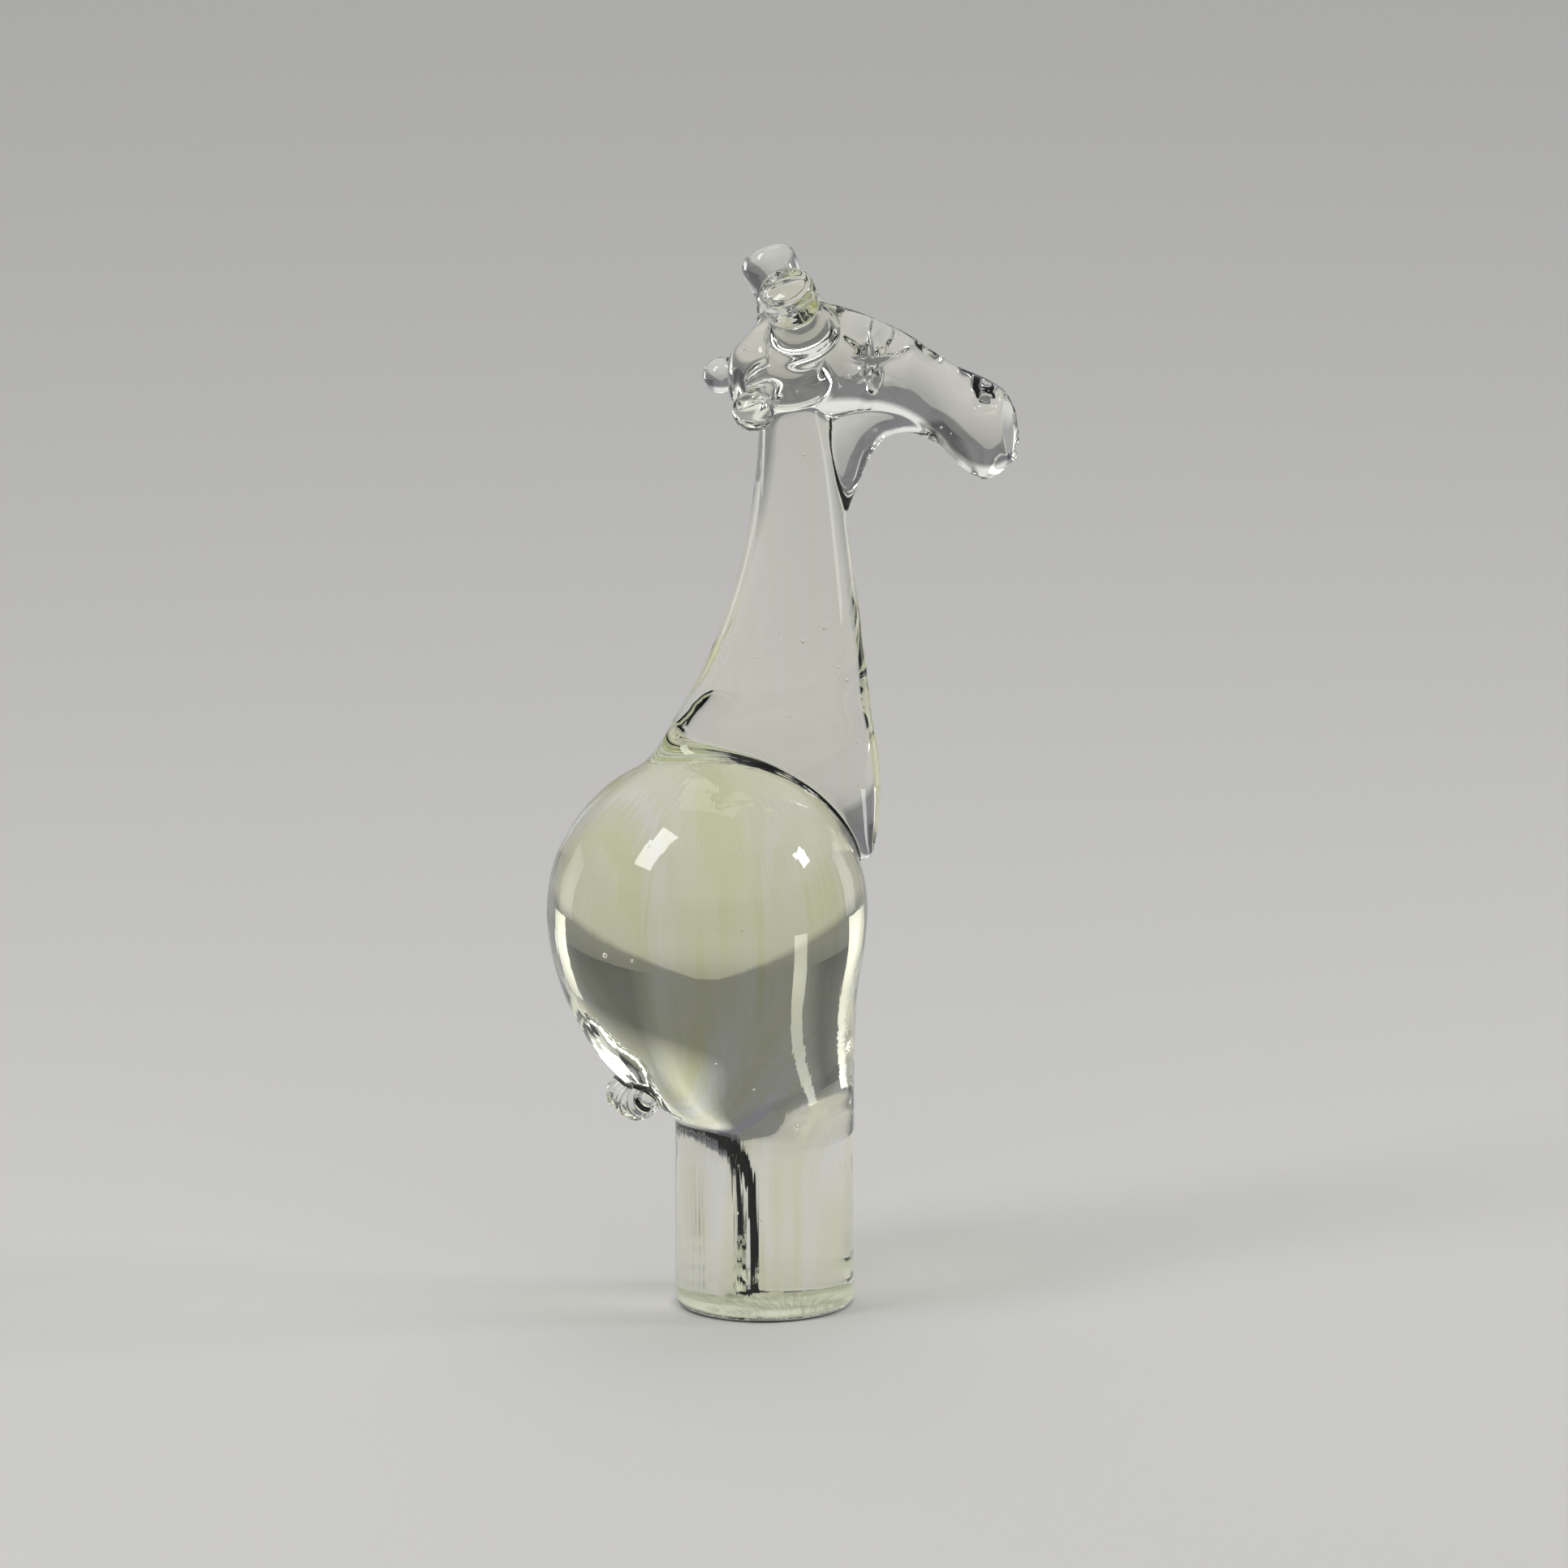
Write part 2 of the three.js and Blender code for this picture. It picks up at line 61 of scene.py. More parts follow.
# %% Sizes of the body and its groove
FOOT_WIDTH, FOOT_DEPTH, FOOT_BEVEL = 29.8, 26.4, 0.8
BLOCK_SETBACK = 0.4
BALL_RADIUS, BALL_HEIGHT, BALL_SETBACK = 26.6, 68.5, 10.3
BALL_DRAWN_DOWN, BALL_DRAWN_SLOPE = 36.0, 1.8
RUMP_FILLET, SIDE_DRAWN_DOWN, SIDE_TAPER = 1.8, 45.0, 2.5
GROOVE_WIDTH, GROOVE_DEPTH, GROOVE_HEIGHT, GROOVE_SETBACK = 5.2, 4.4, 33.0, 2.6
GROOVE_TAPER, GROOVE_OVERRUN = 0.35, 1.0
BALL_TOP = BALL_HEIGHT + BALL_RADIUS

# %% Sizes of the neck and the chest
NECK_LENGTH = 57.0
NECK_TOP_WIDTH, NECK_TOP_DEPTH, NECK_TOP_FORWARD = 10.2, 11.2, 3.9
NECK_FOOT_REAR, NECK_FOOT_FRONT, NECK_FOOT_DEPTH, NECK_FOOT_LIFT = 15.9, 18.4, 14.8, 3.6
NECK_OFFSET, NECK_SWEEP, NECK_FLARE, NECK_FLARE_STEEPNESS, NECK_SQUARENESS = 4.0, 2.4, 0.2, 6, 2.3
HEEL_COLLAR, HEEL_FULLNESS = 3.0, 2.6
CHEST_DROP, CHEST_SWELL, CHEST_THINNING, CHEST_TIP_WIDTH = 19.0, 1.3, 0.7, 3.4
JOINT = np.array([NECK_TOP_FORWARD, 0.0, BALL_TOP + NECK_LENGTH])

# %% Sizes of the head: each rib is forward, up, height, depth and tilt
HEAD_RIBS = {
    "occiput": (-9.3, 7.3, 9.4, 8.4, 0.0),
    "nape": (-5.3, 7.8, 16.6, 12.8, 0.0),
    "crown": (3.9, 9.8, 19.2, 14.6, 2.0),
    "brow": (16.1, 7.5, 15.0, 12.4, 11.0),
    "bridge": (25.1, 2.5, 12.4, 9.6, 24.0),
    "muzzle": (30.9, -1.9, 15.4, 11.0, 18.0),
    "chin": (34.3, -4.0, 15.4, 10.6, 13.0),
    "lip": (37.8, -3.6, 8.4, 8.2, -3.0),
}
SHEAR_FORWARD, SHEAR_TURN, SHEAR_LEAN, SHEAR_EDGE = 37.4, 33.0, 8.0, 0.5
EYE_FORWARD, EYE_UP, EYE_RADIUS, EYE_DEEP = 13.1, 9.4, 2.2, 3.4
MOUTH_FORWARD, MOUTH_UP, MOUTH_HEIGHT, MOUTH_INSET = 38.0, -6.4, 0.9, 0.8

# The poke at the eye is slimmer than its dimple in the CAD, and it sagged as it was drawn out again
EYE_SLIMMING, EYE_DROOP, EYE_FOLD_DEEP = 0.8, 4.6, 0.9

# Folds that the poke drew in, each by its turn from straight forward, its length and its width
EYE_FOLDS = ((93, 5.4, 1.3), (18, 6.6, 1.9), (158, 5.0, 1.9), (-24, 5.6, 1.3), (212, 4.2, 1.3))

# Nostrils: each side is a small dish in a larger one, clear of the nose's ridge. A dish is given by
# its place ahead of and above the nostril, its half length, its half height and its depth
NOSTRIL_FORWARD, NOSTRIL_UP = 32.6, 2.5
NOSTRIL_DISHES = ((-0.4, 0.0, 2.1, 1.5, 0.7), (0.3, -0.4, 1.2, 0.9, 1.2))

# %% Sizes of the throat: each rib's back edge, front edge and depth, from the neck's front and joint
THROAT_RIBS = {
    "cut_point": (3.4, -15.0, 4.8, -15.0, 2.4),
    "web": (1.0, -10.5, 6.6, -10.8, 6.0),
    "fold": (0.0, -3.0, 9.2, -5.2, 8.0),
    "jaw_root": (4.5, 2.0, 11.8, -3.2, 8.0),
    "tongue": (11.2, 3.0, 15.1, -3.0, 6.4),
    "tongue_tip": (16.3, 0.5, 18.7, -4.4, 4.0),
}

# %% Sizes of the horns, the ears and the tail
HORN_ROOT_DEPTH, HORN_FLARE, HORN_SHOULDER, HORN_SHOULDER_AT = 5.0, 6.4, 5.5, 3.0
HORN_WAIST, HORN_WAIST_AT, HORN_KNOB, HORN_KNOB_AT = 4.4, 6.2, 4.7, 9.6
HORN_END, HORN_END_BEVEL, HORN_LENGTH, HORN_DOME = 3.6, 0.8, 13.0, 0.6
HORN_FORWARD, HORN_UP, HORN_SPREAD, HORN_SPLAY, HORN_LEAN_BACK = 1.4, 15.0, 5.4, 31.0, 18.5
EAR_LENGTH, EAR_HEIGHT, EAR_THICKNESS, EAR_FORWARD, EAR_UP = 13.0, 7.6, 4.6, -2.2, 7.8
EAR_NECK, EAR_BEND, EAR_ARCH = 2.2, 0.4, 0.6
EAR_BALL = {"near": (3.5, 7.6, 3.8, 10.0), "far": (3.0, 10.2, 5.2, 10.6)}
TAIL_THICKNESS, TAIL_HEIGHT, TAIL_CURL, TAIL_WRAP, TAIL_ROUNDING = 5.2, 40.3, 1.6, 38.0, 0.2
TAIL_STANDOFF, TAIL_DROOP, TAIL_RIDGES, TAIL_RIDGE_DEPTH = 1.0, 0.8, 5, 0.3
TAIL_UP = np.array([0.4, 0.2, 1.0])
SIDES = {"near": -1, "far": 1}

# %% [markdown]
# ## Drawing a gather
#
# Hot glass flows in curves that never turn sharply, as a spline does. Each gather is drawn as a row
# of ribs, and a smooth curve through the ribs' ends gives as many rings as we like. Points stand
# less than a millimetre apart, so the flats between them are far too shallow to see.

# %% A smooth curve through points
TOUCHING = 1e-2


def smooth_curve(points, steps):
    p = np.asarray(points, float)
    p = np.vstack([2 * p[0] - p[1], p, 2 * p[-1] - p[-2]])
    gap = np.sqrt(np.linalg.norm(np.diff(p, axis=0), axis=1))
    t = np.linspace(0, len(points) - 1, steps + 1)
    k = np.minimum(t.astype(int), len(points) - 2)
    w = (t - k)[:, None]
    a, b, c, d = p[k], p[k + 1], p[k + 2], p[k + 3]
    middle = gap[k + 1][:, None]
    middle = np.where(middle < TOUCHING, 1.0, middle)
    before = np.maximum(gap[k][:, None], TOUCHING)
    after = np.maximum(gap[k + 2][:, None], TOUCHING)
    start = ((b - a) / before - (c - a) / (before + middle)) * middle + (c - b)
    end = (c - b) - ((d - b) / (middle + after) - (d - c) / after) * middle
    return b + w * start + w**2 * (3 * (c - b) - 2 * start - end) + w**3 * (2 * (b - c) + start + end)


# %% Rings of glass, and the closed skin over them
AROUND = 240


def rings_of(centre, half_height, half_width, squareness=2.0):
    angle = np.linspace(0, 2 * math.pi, AROUND, endpoint=False)
    up = np.sign(np.cos(angle)) * np.abs(np.cos(angle)) ** (2 / squareness)
    side = np.sign(np.sin(angle)) * np.abs(np.sin(angle)) ** (2 / squareness)
    return (
        centre[:, None, :]
        + half_height[:, None, :] * up[None, :, None]
        + half_width[:, None, :] * side[None, :, None]
    )


def closed_skin(rings):
    count, around = rings.shape[:2]
    points = np.vstack([rings.reshape(-1, 3), rings[0].mean(0), rings[-1].mean(0)])
    k = np.arange(around)
    after = (k + 1) % around
    low = (np.arange(count - 1) * around)[:, None]
    walls = [
        np.stack([low + k, low + after, low + around + after], -1).reshape(-1, 3),
        np.stack([low + k, low + around + after, low + around + k], -1).reshape(-1, 3),
    ]
    bottom = np.stack([after, k, np.full(around, count * around)], -1)
    top = (count - 1) * around
    lid = np.stack([top + k, top + after, np.full(around, count * around + 1)], -1)
    return points, np.vstack([*walls, bottom, lid])


# %% A gather through its ribs, with a shallow dome over each end
DOME_FROM, DOME_TO, DOME_RINGS = 6, 88, 14


def rib(x1, z1, x2, z2, depth, y=0.0):
    return np.array([x1, y, z1]), np.array([x2, y, z2]), depth


def gather(ribs, steps, domes=(0.0, 0.0), squareness=2.0):
    low = smooth_curve([r[0] for r in ribs], steps)
    high = smooth_curve([r[1] for r in ribs], steps)
    depth = smooth_curve([[r[2], 0.0] for r in ribs], steps)[:, 0]
    centre, half_height = (low + high) / 2, (high - low) / 2
    half_width = np.zeros_like(centre)
    half_width[:, 1] = depth / 2
    rings = [rings_of(centre, half_height, half_width, squareness)]
    for end, before, height in ((0, 1, domes[0]), (-1, -2, domes[1])):
        if height:
            out = np.cross(half_height[end], half_width[end])
            out *= np.sign(out @ (centre[end] - centre[before])) / np.linalg.norm(out)
            angle = np.radians(np.linspace(DOME_FROM, DOME_TO, DOME_RINGS))[:, None]
            dome = rings_of(
                centre[end] + out * height * np.sin(angle),
                half_height[end] * np.cos(angle),
                half_width[end] * np.cos(angle),
                squareness,
            )
            rings = [dome[::-1], *rings] if end == 0 else [*rings, dome]
    return closed_skin(np.concatenate(rings))


# %% A bit drawn along a path, and an egg of glass
UP, ACROSS = np.array([0.0, 0.0, 1.0]), np.array([0.0, 1.0, 0.0])
EGG_RINGS, EGG_END = 90, 0.02


def strand(path, radius, up=UP):
    tangent = np.gradient(path, axis=0)
    across = np.cross(tangent, up)
    across /= np.linalg.norm(across, axis=1)[:, None]
    raised = np.cross(across, tangent)
    raised /= np.linalg.norm(raised, axis=1)[:, None]
    return closed_skin(rings_of(path, raised * radius[:, None], across * radius[:, None]))


def egg(centre, radii):
    angle = np.linspace(EGG_END, math.pi - EGG_END, EGG_RINGS)[:, None]
    lengthwise, crosswise, upright = np.diag(radii)
    middle = centre + np.cos(angle) * upright
    return closed_skin(rings_of(middle, np.sin(angle) * lengthwise, np.sin(angle) * crosswise))


# %% Say how large a skin is
def say_size(label, *skins):
    length, depth, height = np.ptp(np.vstack([points for points, _ in skins]), axis=0)
    print(f"{label}: {length:.1f} x {depth:.1f} x {height:.1f} mm")


# %% [markdown]
# ## The body
#
# One outline serves the whole body. Above its middle it is a ball. Below, the ball is drawn down and
# runs into the block of legs. At the front and the rear the larger of the two is kept, rounded where
# they cross as a hot fillet is. The sides were drawn down softer and run into the block in one long
# taper. A faint ring round the block is where the jacks held it while the ball was drawn down.

# %% The body's outline and its skin
JACK_LINE_AT, JACK_LINE_DEPTH, JACK_LINE_WIDTH = 26.5, 0.09, 0.9
LEG_RINGS, BALL_RINGS, BALL_END = 150, 90, 0.01


def smooth_larger(a, b, fillet):
    return 0.5 * (a + b + np.hypot(a - b, fillet))


def swell_at(height, reach, slope):
    return np.maximum(0, 1 - np.abs(height / reach) ** slope) ** (1 / slope)


def body_outline(z):
    height = z - BALL_HEIGHT
    below = height < 0
    swell = np.where(
        below, swell_at(height, BALL_DRAWN_DOWN, BALL_DRAWN_SLOPE), swell_at(height, BALL_RADIUS, 2)
    )
    block = FOOT_WIDTH / 2
    top_front = smooth_larger(block - BLOCK_SETBACK + BALL_SETBACK, BALL_RADIUS, RUMP_FILLET)
    rear = np.where(
        below,
        -smooth_larger(block + BLOCK_SETBACK, BALL_SETBACK + BALL_RADIUS * swell, RUMP_FILLET),
        -BALL_SETBACK - BALL_RADIUS * swell,
    )
    front = np.where(
        below,
        smooth_larger(block - BLOCK_SETBACK, BALL_RADIUS * swell - BALL_SETBACK, RUMP_FILLET),
        -BALL_SETBACK + top_front * swell,
    )
    side = np.maximum(0, 1 - (height / SIDE_DRAWN_DOWN) ** 2) ** SIDE_TAPER
    drawn = FOOT_DEPTH / 2 + (BALL_RADIUS - FOOT_DEPTH / 2) * side
    half_depth = np.where(below, drawn, BALL_RADIUS * swell)
    return rear, front, half_depth


def body_skin():
    z = np.concatenate([
        np.linspace(FOOT_BEVEL, BALL_HEIGHT, LEG_RINGS, endpoint=False),
        BALL_HEIGHT + BALL_RADIUS * np.sin(np.linspace(0, math.pi / 2 - BALL_END, BALL_RINGS)),
    ])
    rear, front, half_depth = body_outline(z)
    jack = JACK_LINE_DEPTH * np.exp(-(((z - JACK_LINE_AT) / JACK_LINE_WIDTH) ** 2))
    middle, half_length, half_depth = (rear + front) / 2, (front - rear) / 2 - jack, half_depth - jack
    foot = (middle[0] + BLOCK_SETBACK, half_length[0] - FOOT_BEVEL, half_depth[0] - FOOT_BEVEL, 0)
    middle, half_length, half_depth, z = (
        np.append(first, rest) for first, rest in zip(foot, (middle, half_length, half_depth, z))
    )
    flat = np.zeros_like(z)
    return closed_skin(
        rings_of(
            np.stack([middle, flat, z], -1),
            np.stack([half_length, flat, flat], -1),
            np.stack([flat, half_depth, flat], -1),
        )
    )


say_size("body", body_skin())


# %% The groove pressed up the far side of the legs
def groove_skin():
    t = np.linspace(0, 1, 6)
    z = -GROOVE_OVERRUN + (GROOVE_HEIGHT + GROOVE_OVERRUN) * t
    half = (GROOVE_WIDTH / 2) * (1 - GROOVE_TAPER * t**3)
    out = body_outline(z)[2] + GROOVE_DEPTH * t**4
    ribs = [
        rib(-GROOVE_SETBACK - h, height, -GROOVE_SETBACK + h, height, 2 * GROOVE_DEPTH, y)
        for h, height, y in zip(half, z, out)
    ]
    return gather(ribs, steps=80, domes=(0.0, 1.0))


say_size("groove", groove_skin())


# %% [markdown]
# ## The neck and the chest
#
# The neck is one long gather. It is set down on the ball with a wide foot, and its front runs on down
# the ball as the chest. It narrows upwards in a long sweep, as hot glass does when it is pulled.

# %% The neck's skin
NECK_INTO_CROWN = 0.25


def arch(t):
    return 4 * t * (1 - t)


def neck_skin():
    rim, tip = BALL_TOP + NECK_FOOT_LIFT, BALL_TOP - CHEST_DROP
    ribs = []
    for down in (1.0, 0.75, 0.5, 0.25):
        z = rim + (tip - rim) * down
        run = NECK_FOOT_FRONT - CHEST_TIP_WIDTH + NECK_FOOT_REAR
        rear = -NECK_FOOT_REAR - HEEL_COLLAR * arch(min(1, 2 * down)) + run * down**HEEL_FULLNESS
        front = NECK_FOOT_FRONT + CHEST_SWELL * arch(down)
        depth = NECK_FOOT_DEPTH * (1 - CHEST_THINNING * down**3)
        ribs.append(rib(rear, z, front, z, depth, NECK_OFFSET))
    top = JOINT[2] + HEAD_RIBS["crown"][2] * NECK_INTO_CROWN
    top_rear, top_front = NECK_TOP_FORWARD - NECK_TOP_WIDTH / 2, NECK_TOP_FORWARD + NECK_TOP_WIDTH / 2
    for t in np.linspace(0, 1, 8):
        z = rim + (top - rim) * t
        rear_share = 1 - (1 - t) ** NECK_SWEEP
        front_share = (1 - NECK_FLARE) * t + NECK_FLARE * t**NECK_FLARE_STEEPNESS
        rear = -NECK_FOOT_REAR + (top_rear + NECK_FOOT_REAR) * rear_share
        front = NECK_FOOT_FRONT + (top_front - NECK_FOOT_FRONT) * front_share
        depth = NECK_FOOT_DEPTH + (NECK_TOP_DEPTH - NECK_FOOT_DEPTH) * math.sqrt(t)
        ribs.append(rib(rear, z, front, z, depth, NECK_OFFSET * (1 - t)))
    return gather(ribs, steps=260, domes=(1.0, 1.0), squareness=NECK_SQUARENESS)


say_size("neck and chest", neck_skin())


# %% [markdown]
# ## The head and its tool marks
#
# The head is the gather that takes most skill. It is dropped on the neck, drawn forward and down to
# a muzzle while it still flows, and sheared off at the lips. The eyes are poked with a point, which
# draws a star of folds in with it. A smaller touch leaves a dished twist at each nostril, and the
# shears leave a crease for the mouth. The poke and the touch start a millimetre outside the glass.

# %% The head's skin, and how deep it is at a place along it
LEAST_BULGE = 0.2


def head_rib(forward, up, height, depth, tilt):
    x, z, tilt = JOINT[0] + forward, JOINT[2] + up, math.radians(tilt)
    lean, rise = height / 2 * math.sin(tilt), height / 2 * math.cos(tilt)
    return rib(x - lean, z - rise, x + lean, z + rise, depth)


def head_skin():
    return gather([head_rib(*r) for r in HEAD_RIBS.values()], steps=200, domes=(1.2, 0.7))


def head_half_depth(forward, up):
    along, middle, height, depth, _ = np.array(list(HEAD_RIBS.values())).T
    off_middle = (up - np.interp(forward, along, middle)) / (np.interp(forward, along, height) / 2)
    return np.interp(forward, along, depth / 2) * np.sqrt(np.maximum(1 - off_middle**2, LEAST_BULGE))


def from_joint(forward, across, up):
    return JOINT + np.array([forward, across, up])


say_size("head", head_skin())

# %% The tools that are pressed into the head
TOOL_START, TOOL_STEPS = 1.0, 40
POKE_WAIST, POKE_SPREAD, POKE_BLUNTNESS, POKE_END = 0.75, 0.4, 6, 1.02
FOLD_LIFT, FOLD_FADE = 0.25, 0.75


def poke_skin(side, forward, up, radius, deep, droop):
    t = np.linspace(0, 1, TOOL_STEPS)
    across = side * (head_half_depth(forward, up) + TOOL_START - (deep + TOOL_START) * t)
    path = np.stack([forward + 0 * t, across, up - droop * t**2], -1)
    size = radius * np.sqrt(POKE_END - t**POKE_BLUNTNESS) * (POKE_WAIST + POKE_SPREAD * t)
    return strand(JOINT + path, size)


def dish_skin(side, ahead, above, length, height, deep):
    forward, up = NOSTRIL_FORWARD + ahead, NOSTRIL_UP + above
    across = side * (head_half_depth(forward, up) + TOOL_START)
    return egg(from_joint(forward, across, up), (length, deep + TOOL_START, height))


def fold_skin(side, forward, up, turn, length, width, deep):
    t = np.linspace(0, 1, TOOL_STEPS)
    forward = forward + length * t * math.cos(math.radians(turn))
    up = up + length * t * math.sin(math.radians(turn))
    across = side * (head_half_depth(forward, up) + FOLD_LIFT - deep * (1 - t) ** 2)
    size = width / 2 * (1 - FOLD_FADE * t)
    return strand(JOINT + np.stack([forward, across, up], -1), size, up=ACROSS)


def mouth_skin():
    lip = HEAD_RIBS["lip"]
    return egg(from_joint(MOUTH_FORWARD, 0, MOUTH_UP), (MOUTH_INSET, lip[3] / 2, MOUTH_HEIGHT / 2))


say_size("mouth crease", mouth_skin())


# %% [markdown]
# ## The throat, the horns, the ears and the tail
#
# These are bits: a little glass dropped on from a thin rod and cut off with the shears. The throat
# is drawn down to a point, a horn is a bulb with a waist and a pressed knob, an ear is a flat root
# that ends in a ball, and the tail is pinched into crimps and curled round the rump.

# %% The throat's skin
def throat_skin():
    edge, z = JOINT[0] + NECK_TOP_WIDTH / 2, JOINT[2]
    ribs = [
        rib(edge + back, z + back_up, edge + front, z + front_up, depth)
        for back, back_up, front, front_up, depth in THROAT_RIBS.values()
    ]
    return gather(ribs, steps=120, domes=(0.8, 1.0))


say_size("throat web", throat_skin())


# %% The horns' skins
HORN_POLE, PRESSED_INNER, PRESSED_RINGS = 0.1, 0.2, 16


def horn_skin(side):
    outline = smooth_curve([
        (HORN_POLE, -HORN_ROOT_DEPTH),
        (HORN_FLARE, 0),
        (HORN_SHOULDER, HORN_SHOULDER_AT),
        (HORN_WAIST, HORN_WAIST_AT),
        (HORN_KNOB, HORN_KNOB_AT),
        (HORN_END + HORN_END_BEVEL, HORN_LENGTH - HORN_END_BEVEL),
        (HORN_END, HORN_LENGTH),
    ], 120)
    across = np.linspace(HORN_END, PRESSED_INNER, PRESSED_RINGS)[1:]
    pressed = np.stack([across, HORN_LENGTH + HORN_DOME * (1 - (across / HORN_END) ** 2)], -1)
    radius, along = np.vstack([outline, pressed]).T
    radius = np.maximum(radius, HORN_POLE)
    lean, splay = math.radians(HORN_LEAN_BACK), math.radians(side * HORN_SPLAY)
    forwards, outwards = np.array([1.0, 0.0, 0.0]), np.array([0.0, math.sin(splay), math.cos(splay)])
    tip = outwards * math.cos(lean) - forwards * math.sin(lean)
    first = outwards * math.sin(lean) + forwards * math.cos(lean)
    second = np.cross(tip, first)
    root = from_joint(HORN_FORWARD, side * HORN_SPREAD, HORN_UP)
    return closed_skin(
        rings_of(root + along[:, None] * tip, radius[:, None] * first, radius[:, None] * second)
    )


say_size("near horn", horn_skin(SIDES["near"]))


# %% The ears' skins: a root, a stem and a ball
def ear_skins(side, radius, back, up, spread):
    skull = HEAD_RIBS["crown"][3] / 2
    bend = side * (skull + (spread - skull) * EAR_BEND)
    root = from_joint(EAR_FORWARD, side * skull, EAR_UP)
    middle = from_joint((EAR_FORWARD - back) / 2, bend, (EAR_UP + up) / 2 + EAR_ARCH)
    end = from_joint(-back, side * spread, up)
    stem = smooth_curve([root, middle, end], 60)
    return [
        egg(root, (EAR_LENGTH / 2, EAR_THICKNESS / 2, EAR_HEIGHT / 2)),
        strand(stem, np.full(len(stem), EAR_NECK)),
        egg(end, (radius, radius, radius)),
    ]


for label, side in SIDES.items():
    say_size(label + " ear", *ear_skins(side, *EAR_BALL[label]))


# %% The tail's skin
def tail_skin():
    t = np.linspace(0, 1, 7)
    dip = np.sin(math.pi * t)
    z = TAIL_HEIGHT - TAIL_CURL * dip
    turn = np.radians(TAIL_WRAP * t)
    rear, front, half_depth = body_outline(z)
    on_body = np.stack([
        (rear + front) / 2 - (front - rear) / 2 * np.cos(turn), -half_depth * np.sin(turn), z
    ], -1)
    out = on_body - np.array([-BALL_SETBACK, 0, BALL_HEIGHT])
    out /= np.linalg.norm(out, axis=1)[:, None]
    path = smooth_curve(on_body + out * (TAIL_STANDOFF + TAIL_DROOP * dip)[:, None], 90)
    t = np.linspace(0, 1, len(path))
    nearest = np.minimum(np.minimum(t, 1 - t), TAIL_ROUNDING) / TAIL_ROUNDING
    rounded = np.maximum(TAIL_ROUNDING, np.sqrt(1 - (1 - nearest) ** 2))
    ridge = TAIL_RIDGE_DEPTH * np.cos(2 * math.pi * TAIL_RIDGES * t)
    size = (TAIL_THICKNESS / 2 + ridge) * rounded
    return strand(path, size, up=TAIL_UP)


say_size("tail", tail_skin())


# %% [markdown]
# ## Melting the gathers together
#
# A distance field holds, at each point of a lattice, how far the nearest glass is, and less than
# nothing inside it. Two fields are fused by taking the smaller of the two, rounded where they are
# nearly alike, which is just what surface tension does to the corner between two hot bits. OpenVDB
# comes with Blender and fills the lattice. A light blur then takes out the last trace of the skins.

# %% The lattice and a skin's field on it
STEP = 0.4
BAND, BLUR_REACH = 4.0, 2.5
LOW = np.array([-43.0, -31.0, -5.0])
HIGH = np.array([48.0, 31.0, 186.0])
SHAPE = tuple(int(n) for n in np.ceil((HIGH - LOW) / STEP))


def field_of(*skins, join=0.8):
    total = None
    for points, triangles in skins:
        grid = openvdb.FloatGrid.createLevelSetFromPolygons(
            ((points - LOW) / STEP).astype(np.float32),
            triangles=triangles.astype(np.uint32),
            halfWidth=BAND / STEP,
        )
        values = np.empty(SHAPE, np.float32)
        grid.copyToArray(values)
        values *= STEP
        total = values if total is None else fused(total, values, join)
    return total


def fused(a, b, fillet):
    return np.minimum(a, b) - np.maximum(fillet - np.abs(a - b), 0) ** 2 / (4 * fillet)


def cut(a, tool, fillet):
    return -fused(-a, tool, fillet)


def sheared(values):
    turn, lean = math.radians(SHEAR_TURN), math.radians(SHEAR_LEAN)
    facing = np.array([math.cos(turn), -math.sin(turn), math.tan(lean)])
    facing /= np.linalg.norm(facing)
    at = [LOW[axis] + STEP * np.arange(SHAPE[axis]) for axis in range(3)]
    blades = facing @ from_joint(SHEAR_FORWARD, 0, 0)
    ahead = np.add.outer(np.add.outer(at[0] * facing[0], at[1] * facing[1]), at[2] * facing[2]) - blades
    return -fused(-values, -ahead.astype(np.float32), SHEAR_EDGE)


def blurred(values, spread):
    reach = int(math.ceil(BLUR_REACH * spread / STEP))
    weights = np.exp(-0.5 * (np.arange(-reach, reach + 1) * STEP / spread) ** 2)
    weights = (weights / weights.sum()).astype(np.float32)
    for axis in range(3):
        edges = [(reach, reach) if other == axis else (0, 0) for other in range(3)]
        padded, length = np.pad(values, edges, mode="edge"), values.shape[axis]
        values = sum(
            weight * np.take(padded, range(k, k + length), axis=axis) for k, weight in enumerate(weights)
        )
    return values


# %% One field for each piece
SMOOTH_GATHER, SMOOTH_BIT, GROOVE_CUT_FILLET = 0.55, 0.25, 1.6
body = blurred(field_of(body_skin()), SMOOTH_GATHER)
fields = {
    "body": cut(body, field_of(groove_skin()), GROOVE_CUT_FILLET),
    "neck": blurred(field_of(neck_skin()), SMOOTH_GATHER),
    "head": sheared(blurred(field_of(head_skin()), SMOOTH_GATHER)),
    "throat_web": field_of(throat_skin()),
}
for label, side in SIDES.items():
    fields[label + "_horn"] = field_of(horn_skin(side))
    fields[label + "_ear"] = field_of(*ear_skins(side, *EAR_BALL[label]))
fields["tail"] = field_of(tail_skin())
print("lattice", SHAPE, "step", STEP, "mm")

# %% [markdown]
# The fillets differ. Under the neck's heel the glass ran into a wide collar that narrows towards the
# chest, so the neck's fillet changes along the lattice. The head was dropped on cooler glass and kept
# a sharp crease, the horns and the tail sank in a little, and the ears' roots ran out widest.

